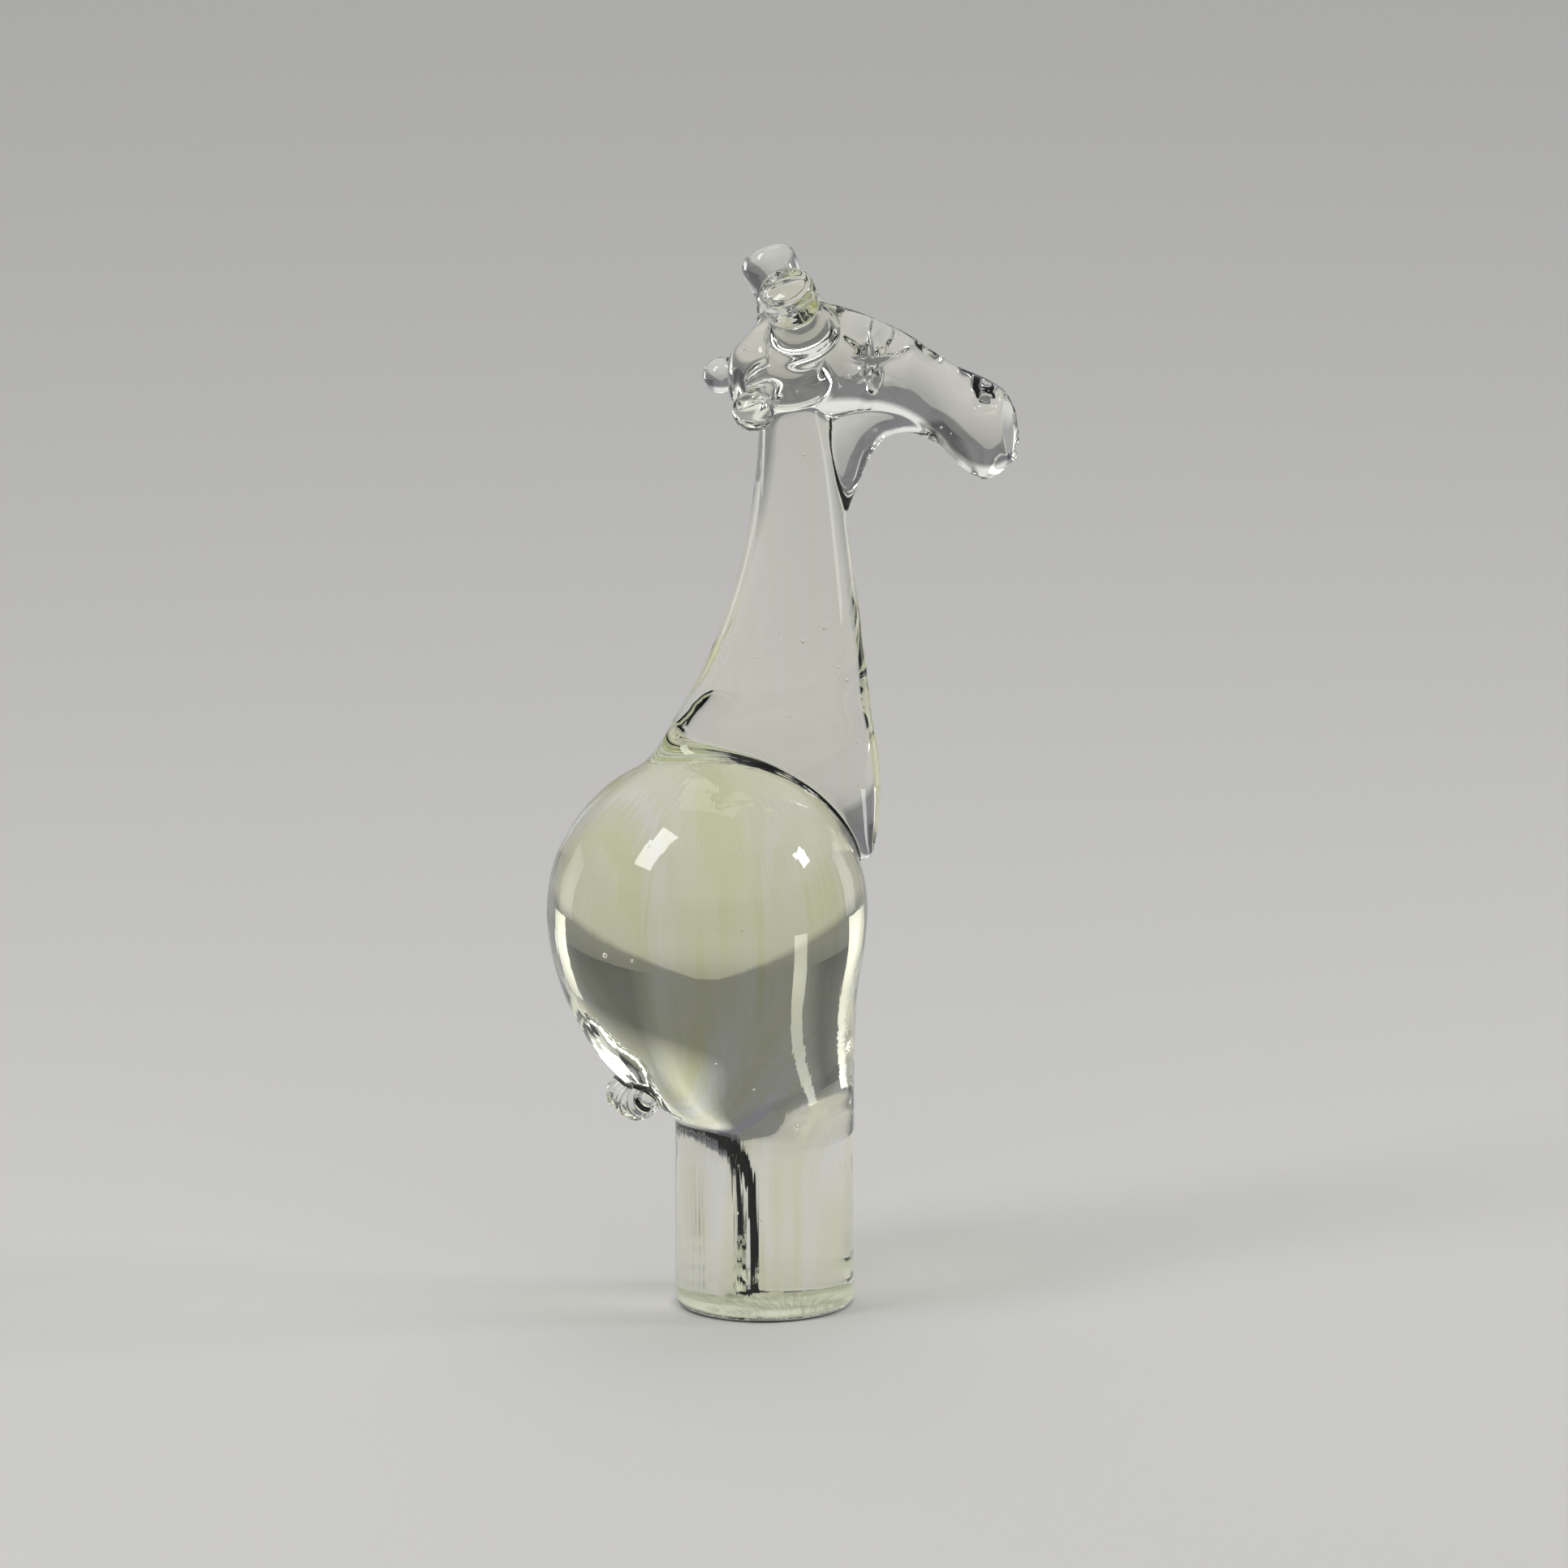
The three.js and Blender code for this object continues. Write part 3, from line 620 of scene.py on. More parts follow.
# %% Fuse the pieces in the order in which they were dropped on
HEEL_AT, CHEST_AT = -12.0, 4.0
HEEL_FILLET, CHEST_FILLET = 3.4, 1.2
EYE_CUT_FILLET, NOSTRIL_CUT_FILLET, MOUTH_CUT_FILLET = 1.1, 0.6, 0.5
lattice_x = LOW[0] + STEP * np.arange(SHAPE[0])
collar = np.interp(lattice_x, (HEEL_AT, CHEST_AT), (HEEL_FILLET, CHEST_FILLET))
FILLET = {
    "neck": collar.astype(np.float32)[:, None, None],
    "head": 0.9,
    "throat_web": 1.4,
    "near_horn": 0.5,
    "far_horn": 0.5,
    "near_ear": 3.0,
    "far_ear": 3.0,
    "tail": 0.7,
}
glass_field = fields["body"]
for name, fillet in FILLET.items():
    glass_field = fused(glass_field, fields[name], fillet)
for side in SIDES.values():
    eye = poke_skin(side, EYE_FORWARD, EYE_UP, EYE_RADIUS * EYE_SLIMMING, EYE_DEEP, EYE_DROOP)
    eye_folds = [fold_skin(side, EYE_FORWARD, EYE_UP, *fold, EYE_FOLD_DEEP) for fold in EYE_FOLDS]
    nostril = [dish_skin(side, *dish) for dish in NOSTRIL_DISHES]
    glass_field = cut(glass_field, field_of(eye, *eye_folds), EYE_CUT_FILLET)
    glass_field = cut(glass_field, field_of(*nostril), NOSTRIL_CUT_FILLET)
glass_field = cut(glass_field, field_of(mouth_skin()), MOUTH_CUT_FILLET)
glass_field = blurred(glass_field, SMOOTH_BIT)
print("fused", len(fields), "pieces")

# %% [markdown]
# ## One smooth surface
#
# OpenVDB meshes the field. Its points are then eased along the surface and put back exactly onto it,
# three times over. The field's slope gives each point the true normal of the glass, which is what
# keeps highlights and bent light free of ripples.

# %% Read the field and its slope between lattice points
PROBE = 0.75


def read_field(values, points):
    at = np.clip((points - LOW) / STEP, 0, np.array(SHAPE) - 1.001)
    low = at.astype(int)
    share = at - low
    total = 0.0
    for corner in np.ndindex(2, 2, 2):
        weight = np.prod(np.where(corner, share, 1 - share), axis=1)
        total = total + weight * values[tuple((low + corner).T)]
    return total


def slope_of(values, points):
    steps = np.eye(3) * STEP * PROBE
    rise = [read_field(values, points + step) - read_field(values, points - step) for step in steps]
    rise = np.stack(rise, -1)
    steepness = np.linalg.norm(rise, axis=1)
    return rise / steepness[:, None], steepness / (2 * PROBE * STEP)


# %% Take the surface, ease it and put it back onto the glass
EASE_SHARE, EASE_ROUNDS, LANDINGS, SHALLOWEST = 0.6, 3, 2, 0.2
FLAT_WITHIN = 0.04


def surface_of(values):
    grid = openvdb.FloatGrid(BAND)
    grid.copyFromArray(values)
    points, quads = grid.convertToQuads(0.0)
    points, quads = points.astype(float) * STEP + LOW, quads.astype(np.int64)
    pairs = np.vstack([quads[:, [k, (k + 1) % 4]] for k in range(4)])
    pairs = np.vstack([pairs, pairs[:, ::-1]])
    count = np.bincount(pairs[:, 0], minlength=len(points))[:, None]
    for _ in range(EASE_ROUNDS):
        eased = np.stack([
            np.bincount(pairs[:, 0], weights=points[pairs[:, 1], axis], minlength=len(points))
            for axis in range(3)
        ], -1) / count
        points = points + EASE_SHARE * (eased - points)
        for _ in range(LANDINGS):
            normal, steep = slope_of(values, points)
            distance = read_field(values, points) / np.maximum(steep, SHALLOWEST)
            points = points - normal * np.clip(distance, -STEP, STEP)[:, None]
    points[:, 2] = np.where(points[:, 2] < FLAT_WITHIN, 0.0, points[:, 2])
    return points, quads


surface, quads = surface_of(glass_field)
normals = slope_of(glass_field, surface)[0]
triangles = np.vstack([quads[:, [0, 1, 2]], quads[:, [0, 2, 3]]])
corners = surface[triangles]
volume = np.einsum("ij,ij->i", corners[:, 0], np.cross(corners[:, 1], corners[:, 2])).sum() / 6
if volume < 0:
    triangles = triangles[:, ::-1]
print(len(surface), "points,", len(triangles), "triangles")
print(round(abs(volume) / 1000, 1), "cm3 of glass")

# %% [markdown]
# ## Sharing the surface out
#
# Each point belongs to the piece whose own field is nearest there. A triangle that lies across a
# border is cut along it, so the borders run smoothly in the creases. Each piece is then closed with
# a weld face where it was fused, because a piece with a hole in it isn't a solid.

# %% Cut the triangles that lie across a border
NAMES = list(fields)
BORDER_KEEPS_OFF = 0.05
nearness = np.stack([read_field(fields[name], surface) for name in NAMES], -1)
owner = nearness.argmin(1)
owners = owner[triangles]
mixed = (owners != owners[:, :1]).any(1)
patch_faces = [triangles[~mixed]]
patch_owner = [owners[~mixed, 0]]
points, point_normals = [surface], [normals]
crossing = {}
added = len(surface)


def border_point(u, v):
    global added
    key = (u, v) if u < v else (v, u)
    if key not in crossing:
        u, v = key
        a, b = owner[u], owner[v]
        at_u, at_v = nearness[u, a] - nearness[u, b], nearness[v, a] - nearness[v, b]
        share = min(1 - BORDER_KEEPS_OFF, max(BORDER_KEEPS_OFF, at_u / (at_u - at_v)))
        points.append((surface[u] + (surface[v] - surface[u]) * share)[None])
        point_normals.append((normals[u] + (normals[v] - normals[u]) * share)[None])
        crossing[key] = added
        added += 1
    return crossing[key]


cut_faces, cut_owner = [], []
for face in triangles[mixed]:
    u, v, w = (int(k) for k in face)
    if len({owner[u], owner[v], owner[w]}) == 3:
        points.append(surface[face].mean(0)[None])
        point_normals.append(normals[face].mean(0)[None])
        middle = added
        added += 1
        ring = [u, border_point(u, v), v, border_point(v, w), w, border_point(w, u)]
        for k in (0, 2, 4):
            cut_faces += [(ring[k], ring[k + 1], middle), (ring[k], middle, ring[k - 1])]
            cut_owner += [owner[ring[k]]] * 2
        continue
    while owner[v] != owner[w]:
        u, v, w = v, w, u
    near, far = border_point(u, v), border_point(w, u)
    cut_faces += [(u, near, far), (near, v, w), (near, w, far)]
    cut_owner += [owner[u], owner[v], owner[v]]
points = np.vstack(points)
point_normals = np.vstack(point_normals)
patch_faces = np.vstack([*patch_faces, np.array(cut_faces)])
patch_owner = np.concatenate([*patch_owner, np.array(cut_owner)])
print({name: int((patch_owner == k).sum()) for k, name in enumerate(NAMES)})

# %% [markdown]
# Furnace glass always holds a few seeds: bubbles of gas, a fraction of a millimetre across, that
# didn't rise out of the melt. A seed is a closed skin inside the glass that faces inwards, and its
# place is picked at random, but the same every time, and deep enough not to break the surface.

# %% Scatter seeds through the gathers
SEED_COUNT = {"body": 12, "neck": 12, "head": 14, "near_horn": 2, "near_ear": 1}
SEED_RADIUS, SEED_SMALLEST, SEED_COVER = 0.34, 0.4, 1.6
SEED_END, SEED_RINGS, SEED_SIDES = 0.25, 9, 16
melt = np.random.default_rng(11)


def seed_skin(centre, radius):
    down = np.linspace(SEED_END, math.pi - SEED_END, SEED_RINGS)[:, None]
    turn = np.linspace(0, 2 * math.pi, SEED_SIDES, endpoint=False)[None, :]
    across, height = np.sin(down), np.cos(down) + 0 * turn
    ball = np.stack([across * np.cos(turn), across * np.sin(turn), height], -1)
    skin, faces = closed_skin(centre + radius * ball)
    a, b, c = skin[faces[0]] - centre
    return skin, faces if np.dot(a, np.cross(b, c)) < 0 else faces[:, ::-1]


for name, count in SEED_COUNT.items():
    own = fields[name]
    inside = np.argwhere(own < -SEED_COVER)
    for spot in inside[melt.choice(len(inside), count, replace=False)]:
        centre = LOW + spot * STEP
        skin, faces = seed_skin(centre, SEED_RADIUS * melt.uniform(SEED_SMALLEST, 1))
        patch_faces = np.vstack([patch_faces, faces + len(points)])
        patch_owner = np.append(patch_owner, np.full(len(faces), NAMES.index(name)))
        points = np.vstack([points, skin])
        towards = centre - skin
        point_normals = np.vstack([point_normals, towards / np.linalg.norm(towards, axis=1)[:, None]])
print(sum(SEED_COUNT.values()), "seeds")


# %% Close a piece with a weld face in each of its openings
def with_welds(faces, points):
    sides = np.vstack([faces[:, [k, (k + 1) % 3]] for k in range(3)])
    known = {(int(a), int(b)) for a, b in sides}
    after = {}
    for a, b in known:
        if (b, a) not in known:
            after.setdefault(b, []).append(a)
    welds, middles = [], []
    while after:
        start = next(iter(after))
        loop, here = [start], start
        while True:
            following = after[here].pop()
            if not after[here]:
                del after[here]
            if following == start:
                break
            loop.append(following)
            here = following
        middle = len(points) + len(middles)
        middles.append(points[loop].mean(0))
        welds += [(a, b, middle) for a, b in zip(loop, loop[1:] + loop[:1])]
    return np.array(welds).reshape(-1, 3), np.array(middles).reshape(-1, 3)


# %% [markdown]
# ## The materials
#
# Furnace glass for such figurines is soda-lime: common, soft and easy to work. Its index is 1.52,
# and traces of iron take a little blue and red out of light that goes a long way through it. So a
# thin bit is clear and the deep ball is yellow-green. The fire polished its skin, so it has almost no
# roughness, only the slow swells of a surface that once ran.

# %% Colours from hex, and a helper that adds one node
def linear(hex_colour):
    channels = [int(hex_colour[k : k + 2], 16) / 255 for k in (1, 3, 5)]
    return (*(c / 12.92 if c <= 0.04045 else ((c + 0.055) / 1.055) ** 2.4 for c in channels), 1.0)


def add_node(tree, kind, settings, links=None):
    node = tree.nodes.new(kind)
    for key, value in settings.items():
        if isinstance(key, str) and hasattr(node, key):
            setattr(node, key, value)
        else:
            node.inputs[key].default_value = value
    for key, source in (links or {}).items():
        tree.links.new(source, node.inputs[key])
    return node


def new_material(name):
    material = bpy.data.materials.new(name)
    material.use_nodes = True
    material.node_tree.nodes.clear()
    return material, material.node_tree


# %% [markdown]
# Light that reaches a face from the inside has come through glass, so its colour there is what is
# left after that length. Light that arrives from outside has lost nothing yet. A face that light
# leaves through counts its colour by the square root, so there the length counts twice. A gather is
# never quite one melt: cords, streaks that are a shade deeper or paler, are drawn out through it.

# %% What is left of red, green and blue light after a length of glass
LENGTH_M, LEFT_AFTER_LENGTH = 0.1, (0.81, 0.84, 0.46)


def left_of_light(tree, lengths, cord=None):
    path = add_node(tree, "ShaderNodeLightPath", {})
    side = add_node(tree, "ShaderNodeNewGeometry", {})
    way = add_node(
        tree, "ShaderNodeMath", {"operation": "MULTIPLY", 1: lengths / LENGTH_M},
        {0: path.outputs["Ray Length"]},
    ).outputs[0]
    if cord:
        way = add_node(tree, "ShaderNodeMath", {"operation": "MULTIPLY"}, {0: way, 1: cord}).outputs[0]
    channels = [
        add_node(tree, "ShaderNodeMath", {"operation": "POWER", 0: left}, {1: way}).outputs[0]
        for left in LEFT_AFTER_LENGTH
    ]
    inside = add_node(tree, "ShaderNodeCombineColor", {}, dict(enumerate(channels)))
    return add_node(
        tree, "ShaderNodeMix", {"data_type": "RGBA", 6: (1, 1, 1, 1)},
        {0: side.outputs["Backfacing"], 7: inside.outputs[0]},
    ).outputs[2]


# %% [markdown]
# The skin of a drawn gather keeps faint lines that run down from its pole, like the meridians of a
# globe. Noise on the direction from the pole's axis gives such lines, and the same noise tints the
# cords. Slow swells come on top, and a film from handling dulls a few places by a trace.
#
# Lamps can't be aimed through glass in a plain path tracer, so glass would throw a black shadow and
# its ground foot would stay dark. The usual way round is a Light Path mix: rays that only look for a
# lamp go straight through, a little dimmed at each face, and every other ray is bent as it should.

# %% Soda-lime glass, fire-polished
SODA_LIME_IOR = 1.52
LINES_CHANGE_PER_M, HANDLING_MM, FILM_ROUGHNESS = 3.0, 14.0, 0.02
SHADOW_PER_FACE = "#a0a49c"


def soda_lime_glass(
    name, pole_mm, radius_mm, swell_mm, swell_height_mm, line_mm, line_height_mm, cord_tint
):
    material, tree = new_material(name)
    place = add_node(tree, "ShaderNodeTexCoord", {}).outputs["Object"]
    from_pole = add_node(
        tree, "ShaderNodeMapping", {"Location": (-pole_mm / 1000, 0.0, 0.0), "Scale": (1.0, 1.0, 0.0)},
        {"Vector": place},
    )
    turn = add_node(tree, "ShaderNodeVectorMath", {"operation": "NORMALIZE"}, {0: from_pole.outputs[0]})
    drawn_out = add_node(
        tree, "ShaderNodeVectorMath", {"operation": "MULTIPLY_ADD", 1: (0.0, 0.0, LINES_CHANGE_PER_M)},
        {0: place, 2: turn.outputs[0]},
    )
    lines = add_node(
        tree, "ShaderNodeTexNoise", {"Scale": radius_mm / line_mm, "Detail": 2.0, "Roughness": 0.5},
        {"Vector": drawn_out.outputs[0]},
    )
    cords = add_node(
        tree, "ShaderNodeMapRange",
        {"From Min": 0.3, "From Max": 0.7, "To Min": 1 - cord_tint, "To Max": 1 + cord_tint},
        {"Value": lines.outputs["Fac"]},
    ).outputs["Result"]
    drawn = add_node(
        tree, "ShaderNodeBump", {"Strength": 1.0, "Distance": line_height_mm / 1000},
        {"Height": lines.outputs["Fac"]},
    )
    swells = add_node(
        tree, "ShaderNodeTexNoise", {"Scale": 1000 / swell_mm, "Detail": 2.0, "Roughness": 0.4},
        {"Vector": place},
    )
    skin = add_node(
        tree, "ShaderNodeBump", {"Strength": 1.0, "Distance": swell_height_mm / 1000},
        {"Height": swells.outputs["Fac"], "Normal": drawn.outputs["Normal"]},
    )
    handled = add_node(
        tree, "ShaderNodeTexNoise", {"Scale": 1000 / HANDLING_MM, "Detail": 3.0, "Roughness": 0.6},
        {"Vector": place},
    )
    film = add_node(
        tree, "ShaderNodeMapRange",
        {"From Min": 0.5, "From Max": 0.8, "To Min": 0.0, "To Max": FILM_ROUGHNESS},
        {"Value": handled.outputs["Fac"]},
    )
    glass = add_node(
        tree, "ShaderNodeBsdfPrincipled", {"IOR": SODA_LIME_IOR, "Transmission Weight": 1.0},
        {
            "Base Color": left_of_light(tree, 2, cords),
            "Specular Tint": left_of_light(tree, 1, cords),
            "Roughness": film.outputs["Result"],
            "Normal": skin.outputs["Normal"],
        },
    )
    path = add_node(tree, "ShaderNodeLightPath", {})
    straight = add_node(tree, "ShaderNodeBsdfTransparent", {"Color": linear(SHADOW_PER_FACE)})
    mix = add_node(
        tree, "ShaderNodeMixShader", {},
        {0: path.outputs["Is Shadow Ray"], 1: glass.outputs[0], 2: straight.outputs[0]},
    )
    add_node(tree, "ShaderNodeOutputMaterial", {}, {"Surface": mix.outputs[0]})
    return material


GLASS = {
    "glass_body": soda_lime_glass(
        "soda_lime_glass_thick", pole_mm=-6.0, radius_mm=BALL_RADIUS, swell_mm=9.0, swell_height_mm=0.012,
        line_mm=2.4, line_height_mm=0.040, cord_tint=0.95,
    ),
    "glass_neck": soda_lime_glass(
        "soda_lime_glass_drawn", pole_mm=3.0, radius_mm=12.0, swell_mm=7.0, swell_height_mm=0.010,
        line_mm=1.8, line_height_mm=0.014, cord_tint=0.3,
    ),
    "glass_head": soda_lime_glass(
        "soda_lime_glass_worked", pole_mm=3.9, radius_mm=10.0, swell_mm=6.0, swell_height_mm=0.010,
        line_mm=3.0, line_height_mm=0.004, cord_tint=0.3,
    ),
    "glass_bits": soda_lime_glass(
        "soda_lime_glass_bits", pole_mm=0.0, radius_mm=10.0, swell_mm=4.0, swell_height_mm=0.006,
        line_mm=3.0, line_height_mm=0.002, cord_tint=0.1,
    ),
}


# %% [markdown]
# The foot was ground flat on a wheel. The grit leaves a white, matt skin with long scratches, and
# where the wheel bit less the skin is a shade darker. Its limit is ragged, because the edge of the
# foot isn't equally round everywhere.

# %% The ground foot, and a weld that shows nothing
SCRATCH_MM, SCRATCH_TURN, SCRATCH_STRETCH, SCRATCH_SHARE = 0.5, math.radians(24), 0.06, 0.6
WHEEL_PATCH_MM, GRIT_MM, GRIT_DEPTH_MM = 9.0, 0.35, 0.05


def ground_glass():
    material, tree = new_material("soda_lime_glass_ground_matt")
    place = add_node(tree, "ShaderNodeTexCoord", {}).outputs["Object"]
    along_wheel = add_node(
        tree, "ShaderNodeMapping",
        {"Rotation": (0, 0, SCRATCH_TURN), "Scale": (1.0, SCRATCH_STRETCH, 1.0)},
        {"Vector": place},
    )
    scratches = add_node(
        tree, "ShaderNodeTexNoise", {"Scale": 1000 / SCRATCH_MM, "Detail": 3.0, "Roughness": 0.6},
        {"Vector": along_wheel.outputs[0]},
    )
    wheel = add_node(
        tree, "ShaderNodeTexNoise", {"Scale": 1000 / WHEEL_PATCH_MM, "Detail": 3.0, "Roughness": 0.55},
        {"Vector": place},
    )
    both = add_node(
        tree, "ShaderNodeMath", {"operation": "MULTIPLY_ADD", 1: SCRATCH_SHARE},
        {0: scratches.outputs["Fac"], 2: wheel.outputs["Fac"]},
    )
    shade = add_node(tree, "ShaderNodeValToRGB", {}, {"Fac": both.outputs[0]})
    low, high = shade.color_ramp.elements
    low.position, low.color = 0.62, linear("#b9bbb2")
    high.position, high.color = 0.92, linear("#fbfbf8")
    colour = add_node(
        tree, "ShaderNodeMix", {"data_type": "RGBA", "blend_type": "MULTIPLY", 0: 1.0},
        {6: shade.outputs["Color"], 7: left_of_light(tree, 1)},
    )
    grit = add_node(
        tree, "ShaderNodeTexNoise", {"Scale": 1000 / GRIT_MM, "Detail": 4.0, "Roughness": 0.7},
        {"Vector": place},
    )
    scoured = add_node(
        tree, "ShaderNodeBump", {"Strength": 0.6, "Distance": GRIT_DEPTH_MM / 1000},
        {"Height": grit.outputs["Fac"]},
    )
    rough = add_node(
        tree, "ShaderNodeMapRange", {"To Min": 0.55, "To Max": 0.8}, {"Value": grit.outputs["Fac"]}
    )
    matt = add_node(
        tree, "ShaderNodeBsdfPrincipled", {"IOR": SODA_LIME_IOR, "Specular IOR Level": 0.1},
        {
            "Base Color": colour.outputs[2],
            "Roughness": rough.outputs["Result"],
            "Normal": scoured.outputs["Normal"],
        },
    )
    add_node(tree, "ShaderNodeOutputMaterial", {}, {"Surface": matt.outputs[0]})
    return material


def weld_face():
    material, tree = new_material("fused_weld_unseen")
    clear = add_node(tree, "ShaderNodeBsdfTransparent", {"Color": (1, 1, 1, 1)})
    add_node(tree, "ShaderNodeOutputMaterial", {}, {"Surface": clear.outputs[0]})
    return material


GROUND, WELD = ground_glass(), weld_face()
print("materials:", [material.name for material in (*GLASS.values(), GROUND, WELD)])

# %% [markdown]
# ## The pieces
#
# Each piece takes its own triangles and welds, rides on the frame's one body, and stands for the CAD
# node of the same name. The body also takes the ground glass, on the faces that stand on the shelf.

# %% Build each piece from its share of the surface
SLOT = {"body": "glass_body", "neck": "glass_neck", "head": "glass_head", "throat_web": "glass_head"}
RAGGED_SHARE, RAGGED_WAVES = 0.5, ((0.5, 7, 1), (0.3, 17, 2), (0.3, 41, 0))


def add_object(name, data):
    made = bpy.data.objects.new(name, data)
    bpy.context.scene.collection.objects.link(made)
    return made


def glass_piece(name, faces):
    welds, middles = with_welds(faces, points)
    used = np.unique(faces)
    place = np.full(len(points) + len(middles), -1)
    place[used] = np.arange(len(used))
    place[len(points):] = len(used) + np.arange(len(middles))
    mesh = bpy.data.meshes.new(name + "_glass")
    every_face = place[np.vstack([faces, welds])]
    every_point = np.vstack([points[used], middles]) / 1000
    mesh.from_pydata(every_point.tolist(), [], every_face.tolist())
    slot = SLOT.get(name, "glass_bits")
    for material in (GLASS[slot], WELD, GROUND):
        mesh.materials.append(material)
    kind = np.zeros(len(every_face), np.int32)
    kind[len(faces):] = 1
    if name == "body":
        centre = every_point[every_face].mean(1) * 1000
        turn = np.arctan2(centre[:, 1], centre[:, 0])
        ragged = sum(height * np.sin(waves * turn + start) for height, waves, start in RAGGED_WAVES)
        ground = centre[:, 2] < FOOT_BEVEL * (1.0 + RAGGED_SHARE * ragged)
        kind[: len(faces)][ground[: len(faces)]] = 2
    mesh.polygons.foreach_set("material_index", kind)
    mesh.polygons.foreach_set("use_smooth", np.ones(len(every_face), bool))
    down = np.tile([0.0, 0.0, -1.0], (len(middles), 1))
    mesh.normals_split_custom_set_from_vertices(np.vstack([point_normals[used], down]).tolist())
    mesh.update()
    piece = add_object(name + "_glass", mesh)
    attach(piece, "root")
    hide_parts(name)
    return piece


for number, name in enumerate(NAMES):
    made = glass_piece(name, patch_faces[patch_owner == number])
    print(made.name, len(made.data.polygons), "faces")

# %% [markdown]
# ## The studio
#
# Clear glass has no colour of its own: what it shows is the room, bent. A pale floor fills it with
# light, and its edges only read if something darker lies at the sides. So the paper is painted with
# shade that greys it to both sides of the picture, and the glass bends those painted grey sides into
# soft bands along the neck and into the dark line round the ball. The whole floor stays plain in the
# picture itself.

# %% The floor, with painted shade at its sides
PICTURE_TURN = math.radians(8.0)
# Where the painted side shade starts from the picture's middle line and where it is fully grey, in metres
PAINTED_SHADE_PALE_TO, PAINTED_SHADE_GREY_FROM = 0.21, 0.30
FLOOR_HALF, FLOOR_BELOW = 6.0, 2e-5
PAPER_FIBRE_MM, PAPER_RELIEF_MM = 1.5, 0.02


def pale_floor():
    mesh = bpy.data.meshes.new("floor")
    corners = ((-1, -1), (1, -1), (1, 1), (-1, 1))
    mesh.from_pydata(
        [(x * FLOOR_HALF, y * FLOOR_HALF, -FLOOR_BELOW) for x, y in corners], [], [(0, 1, 2, 3)]
    )
    material, tree = new_material("matt_paper_painted_side_shade")
    place = add_node(tree, "ShaderNodeTexCoord", {}).outputs["Object"]
    fibres = add_node(
        tree, "ShaderNodeTexNoise", {"Scale": 1000 / PAPER_FIBRE_MM, "Detail": 3.0}, {"Vector": place}
    )
    relief = add_node(
        tree, "ShaderNodeBump", {"Strength": 0.2, "Distance": PAPER_RELIEF_MM / 1000},
        {"Height": fibres.outputs["Fac"]},
    )
    off_middle = add_node(
        tree, "ShaderNodeVectorMath",
        {"operation": "DOT_PRODUCT", 1: (math.cos(PICTURE_TURN), -math.sin(PICTURE_TURN), 0.0)},
        {0: place},
    )
    sideways = add_node(
        tree, "ShaderNodeMath", {"operation": "ABSOLUTE"}, {0: off_middle.outputs["Value"]}
    )
    # Painted shade: the paper's colour darkens from pale to grey away from the picture's middle line, as
    # if the light fell off towards the sides
    painted_side_shade = add_node(tree, "ShaderNodeValToRGB", {}, {"Fac": sideways.outputs[0]})
    middle, side = painted_side_shade.color_ramp.elements
    middle.position, middle.color = PAINTED_SHADE_PALE_TO, linear("#cfcecb")
    side.position, side.color = PAINTED_SHADE_GREY_FROM, linear("#959597")
    paper = add_node(
        tree, "ShaderNodeBsdfPrincipled",
        {"Roughness": 0.9, "Specular IOR Level": 0.2},
        {"Base Color": painted_side_shade.outputs["Color"], "Normal": relief.outputs["Normal"]},
    )
    add_node(tree, "ShaderNodeOutputMaterial", {}, {"Surface": paper.outputs[0]})
    mesh.materials.append(material)
    floor = add_object("floor", mesh)


pale_floor()
print("floor of", 2 * FLOOR_HALF, "m, pale to", PAINTED_SHADE_PALE_TO, "m from the middle")


# %% [markdown]
# The lower ball turns the horizon upside down and shows what lies up to twenty degrees above it. The
# room is a quiet grey there and bright from twenty-five degrees on, which is what the underside of
# the head and the jaw show. To both sides of the backdrop the room is a shade darker still. Places
# are those on a globe of radius one, where a height of 0.26 is fifteen degrees up.

# %% The room
GREY_UP_TO, BRIGHT_FROM = 0.26, 0.42
DARKER_FROM, DARKER_TO, DARKER = (0.38, 0.50), (0.80, 0.92), "#b0b0b4"


def grey_room():
    world = bpy.data.worlds.new("studio")
    world.use_nodes = True
    tree = world.node_tree
    tree.nodes.clear()
    way = add_node(tree, "ShaderNodeTexCoord", {}).outputs["Generated"]
    parts = add_node(tree, "ShaderNodeSeparateXYZ", {}, {0: way})
    height = add_node(tree, "ShaderNodeValToRGB", {}, {"Fac": parts.outputs["Z"]})
    low, high = height.color_ramp.elements
    low.position, low.color = GREY_UP_TO, linear("#75757a")
    high.position, high.color = BRIGHT_FROM, linear("#e6e6e6")
    sideways = add_node(tree, "ShaderNodeMath", {"operation": "ABSOLUTE"}, {0: parts.outputs["X"]})
    cards = add_node(tree, "ShaderNodeValToRGB", {}, {"Fac": sideways.outputs[0]})
    edges = cards.color_ramp.elements
    edges[0].position, edges[0].color = DARKER_FROM[0], linear("#ffffff")
    edges[1].position, edges[1].color = DARKER_FROM[1], linear(DARKER)
    for at, shade in zip(DARKER_TO, (DARKER, "#ffffff")):
        edges.new(at).color = linear(shade)
    shade = add_node(
        tree, "ShaderNodeMix", {"data_type": "RGBA", "blend_type": "MULTIPLY", 0: 1.0},
        {6: height.outputs["Color"], 7: cards.outputs["Color"]},
    )
    light = add_node(tree, "ShaderNodeBackground", {"Strength": 1.0}, {"Color": shade.outputs[2]})
    add_node(tree, "ShaderNodeOutputWorld", {}, {"Surface": light.outputs[0]})
    bpy.context.scene.world = world


grey_room()


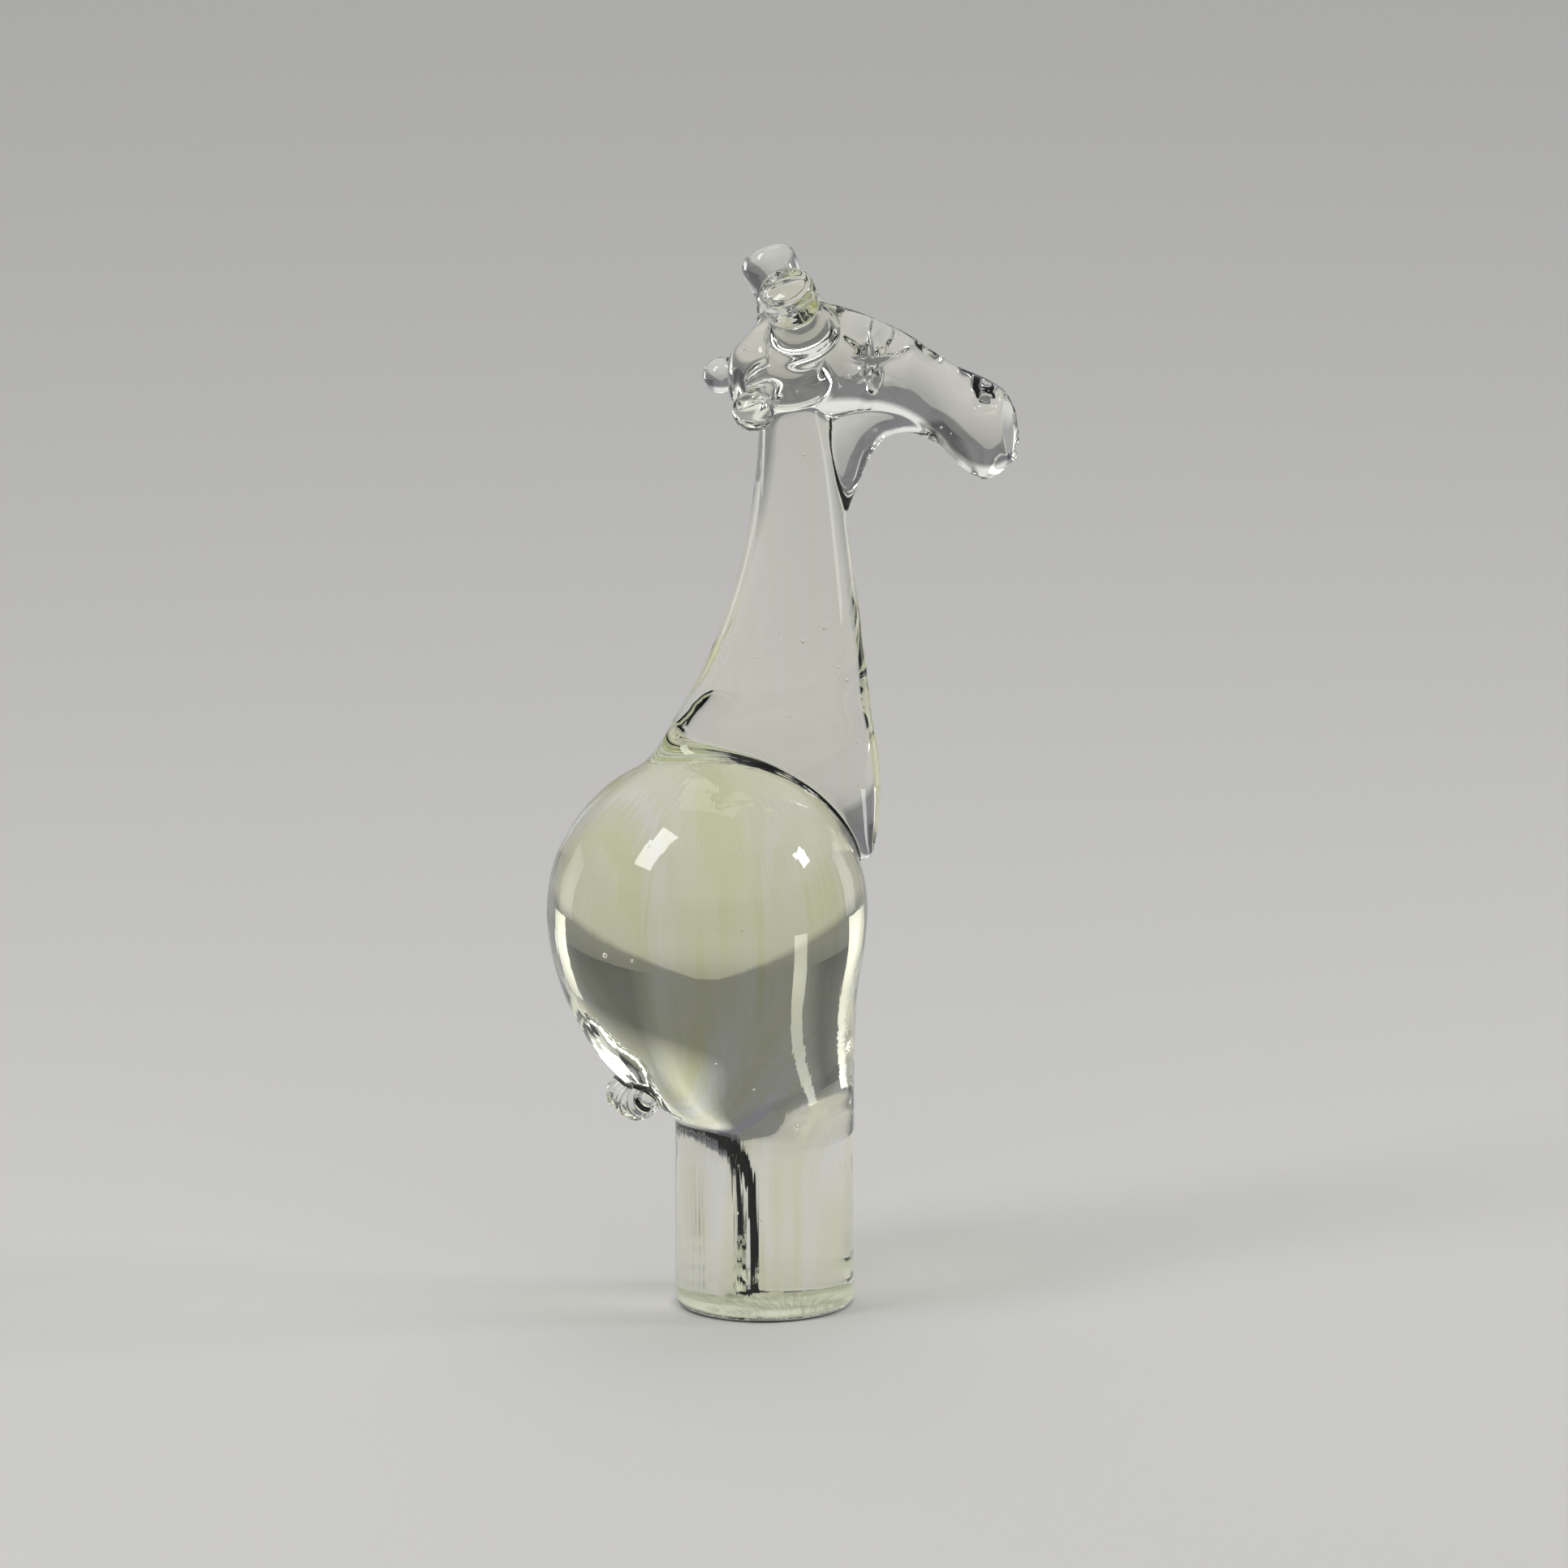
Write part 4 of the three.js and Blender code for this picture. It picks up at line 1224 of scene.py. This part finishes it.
# %% [markdown]
# A tall softbox at the left and a small lamp at the right make the two highlights that sit on the
# ball. Three low strips behind the object, each with a grid that keeps its light narrow, draw the
# bright bands along the ball's edges and the upright band inside it, and one broad softbox fills the
# floor from above.

# %% The lamps
LAMPS_AIM = Vector((-0.005, 0, 0.08))


def softbox(name, towards, distance, width, height, radiance, spread=180.0):
    lamp = bpy.data.lights.new(name, "AREA")
    lamp.shape, lamp.size, lamp.size_y = "RECTANGLE", width, height
    lamp.energy = radiance * math.pi * width * height
    lamp.spread = math.radians(spread)
    holder = add_object(name, lamp)
    way = Vector(towards).normalized()
    holder.location = LAMPS_AIM + way * distance
    holder.rotation_euler = way.to_track_quat("Z", "Y").to_matrix().to_euler()
    holder.visible_camera = False
    print(name, "of", width, "x", height, "m")


softbox("softbox_left", (-0.60, -0.26, 0.76), distance=0.9, width=0.22, height=0.46, radiance=8.0)
softbox("lamp_right", (0.87, -0.11, 0.49), distance=0.8, width=0.14, height=0.13, radiance=20.0)

STRIP_AWAY, STRIP_HEIGHT, STRIP_GRID, STRIP_RISE = 0.36, 0.16, 50.0, 0.02
STRIPS = {"left": (-61, 0.13, 0.1), "rear": (-25, 0.03, 0.03), "right": (56, 0.09, 0.1)}
for side, (turn, width, radiance) in STRIPS.items():
    heading = PICTURE_TURN + math.radians(turn)
    towards = (math.sin(heading), math.cos(heading), STRIP_RISE)
    softbox("strip_" + side, towards, STRIP_AWAY, width, STRIP_HEIGHT, radiance, STRIP_GRID)
softbox("softbox_above", (0.1, 0.25, 0.95), distance=1.2, width=0.7, height=0.7, radiance=1.0)

# %% [markdown]
# ## The camera
#
# The photograph was taken from about 14.5 degrees above and 8 degrees round towards the tail, from
# well back with a long lens. The camera's aim and distance are those that put the middle of the foot
# and the top of the horns where the photograph shows them.

# %% The camera
CAMERA_AIM, CAMERA_AWAY = np.array([0.002818, 0.0, 0.089601]), 2.9
CAMERA_ABOVE = math.radians(14.5)
LENS_MM, SENSOR_MM = 400.0, 36.0


def studio_camera():
    azimuth, elevation = -PICTURE_TURN, CAMERA_ABOVE
    back = np.array([
        math.sin(azimuth) * math.cos(elevation),
        -math.cos(azimuth) * math.cos(elevation),
        math.sin(elevation),
    ])
    lens = bpy.data.cameras.new("camera")
    lens.lens, lens.sensor_width = LENS_MM, SENSOR_MM
    lens.clip_start, lens.clip_end = 0.05, 50.0
    camera = add_object("camera", lens)
    camera.location = CAMERA_AIM + back * CAMERA_AWAY
    camera.rotation_euler = (math.pi / 2 - elevation, 0.0, azimuth)
    bpy.context.scene.camera = camera


studio_camera()
bpy.context.scene.view_settings.view_transform = "Standard"
print("camera", CAMERA_AWAY, "m away, with a lens of", LENS_MM, "mm")

# %% [markdown]
# ## Last, the light paths
#
# Light turns many times inside the knobs and the groove, so the paths are allowed to be long.

# %% Allow long light paths and finish
cycles = bpy.context.scene.cycles
cycles.max_bounces = 32
cycles.transmission_bounces = 32
cycles.transparent_max_bounces = 64
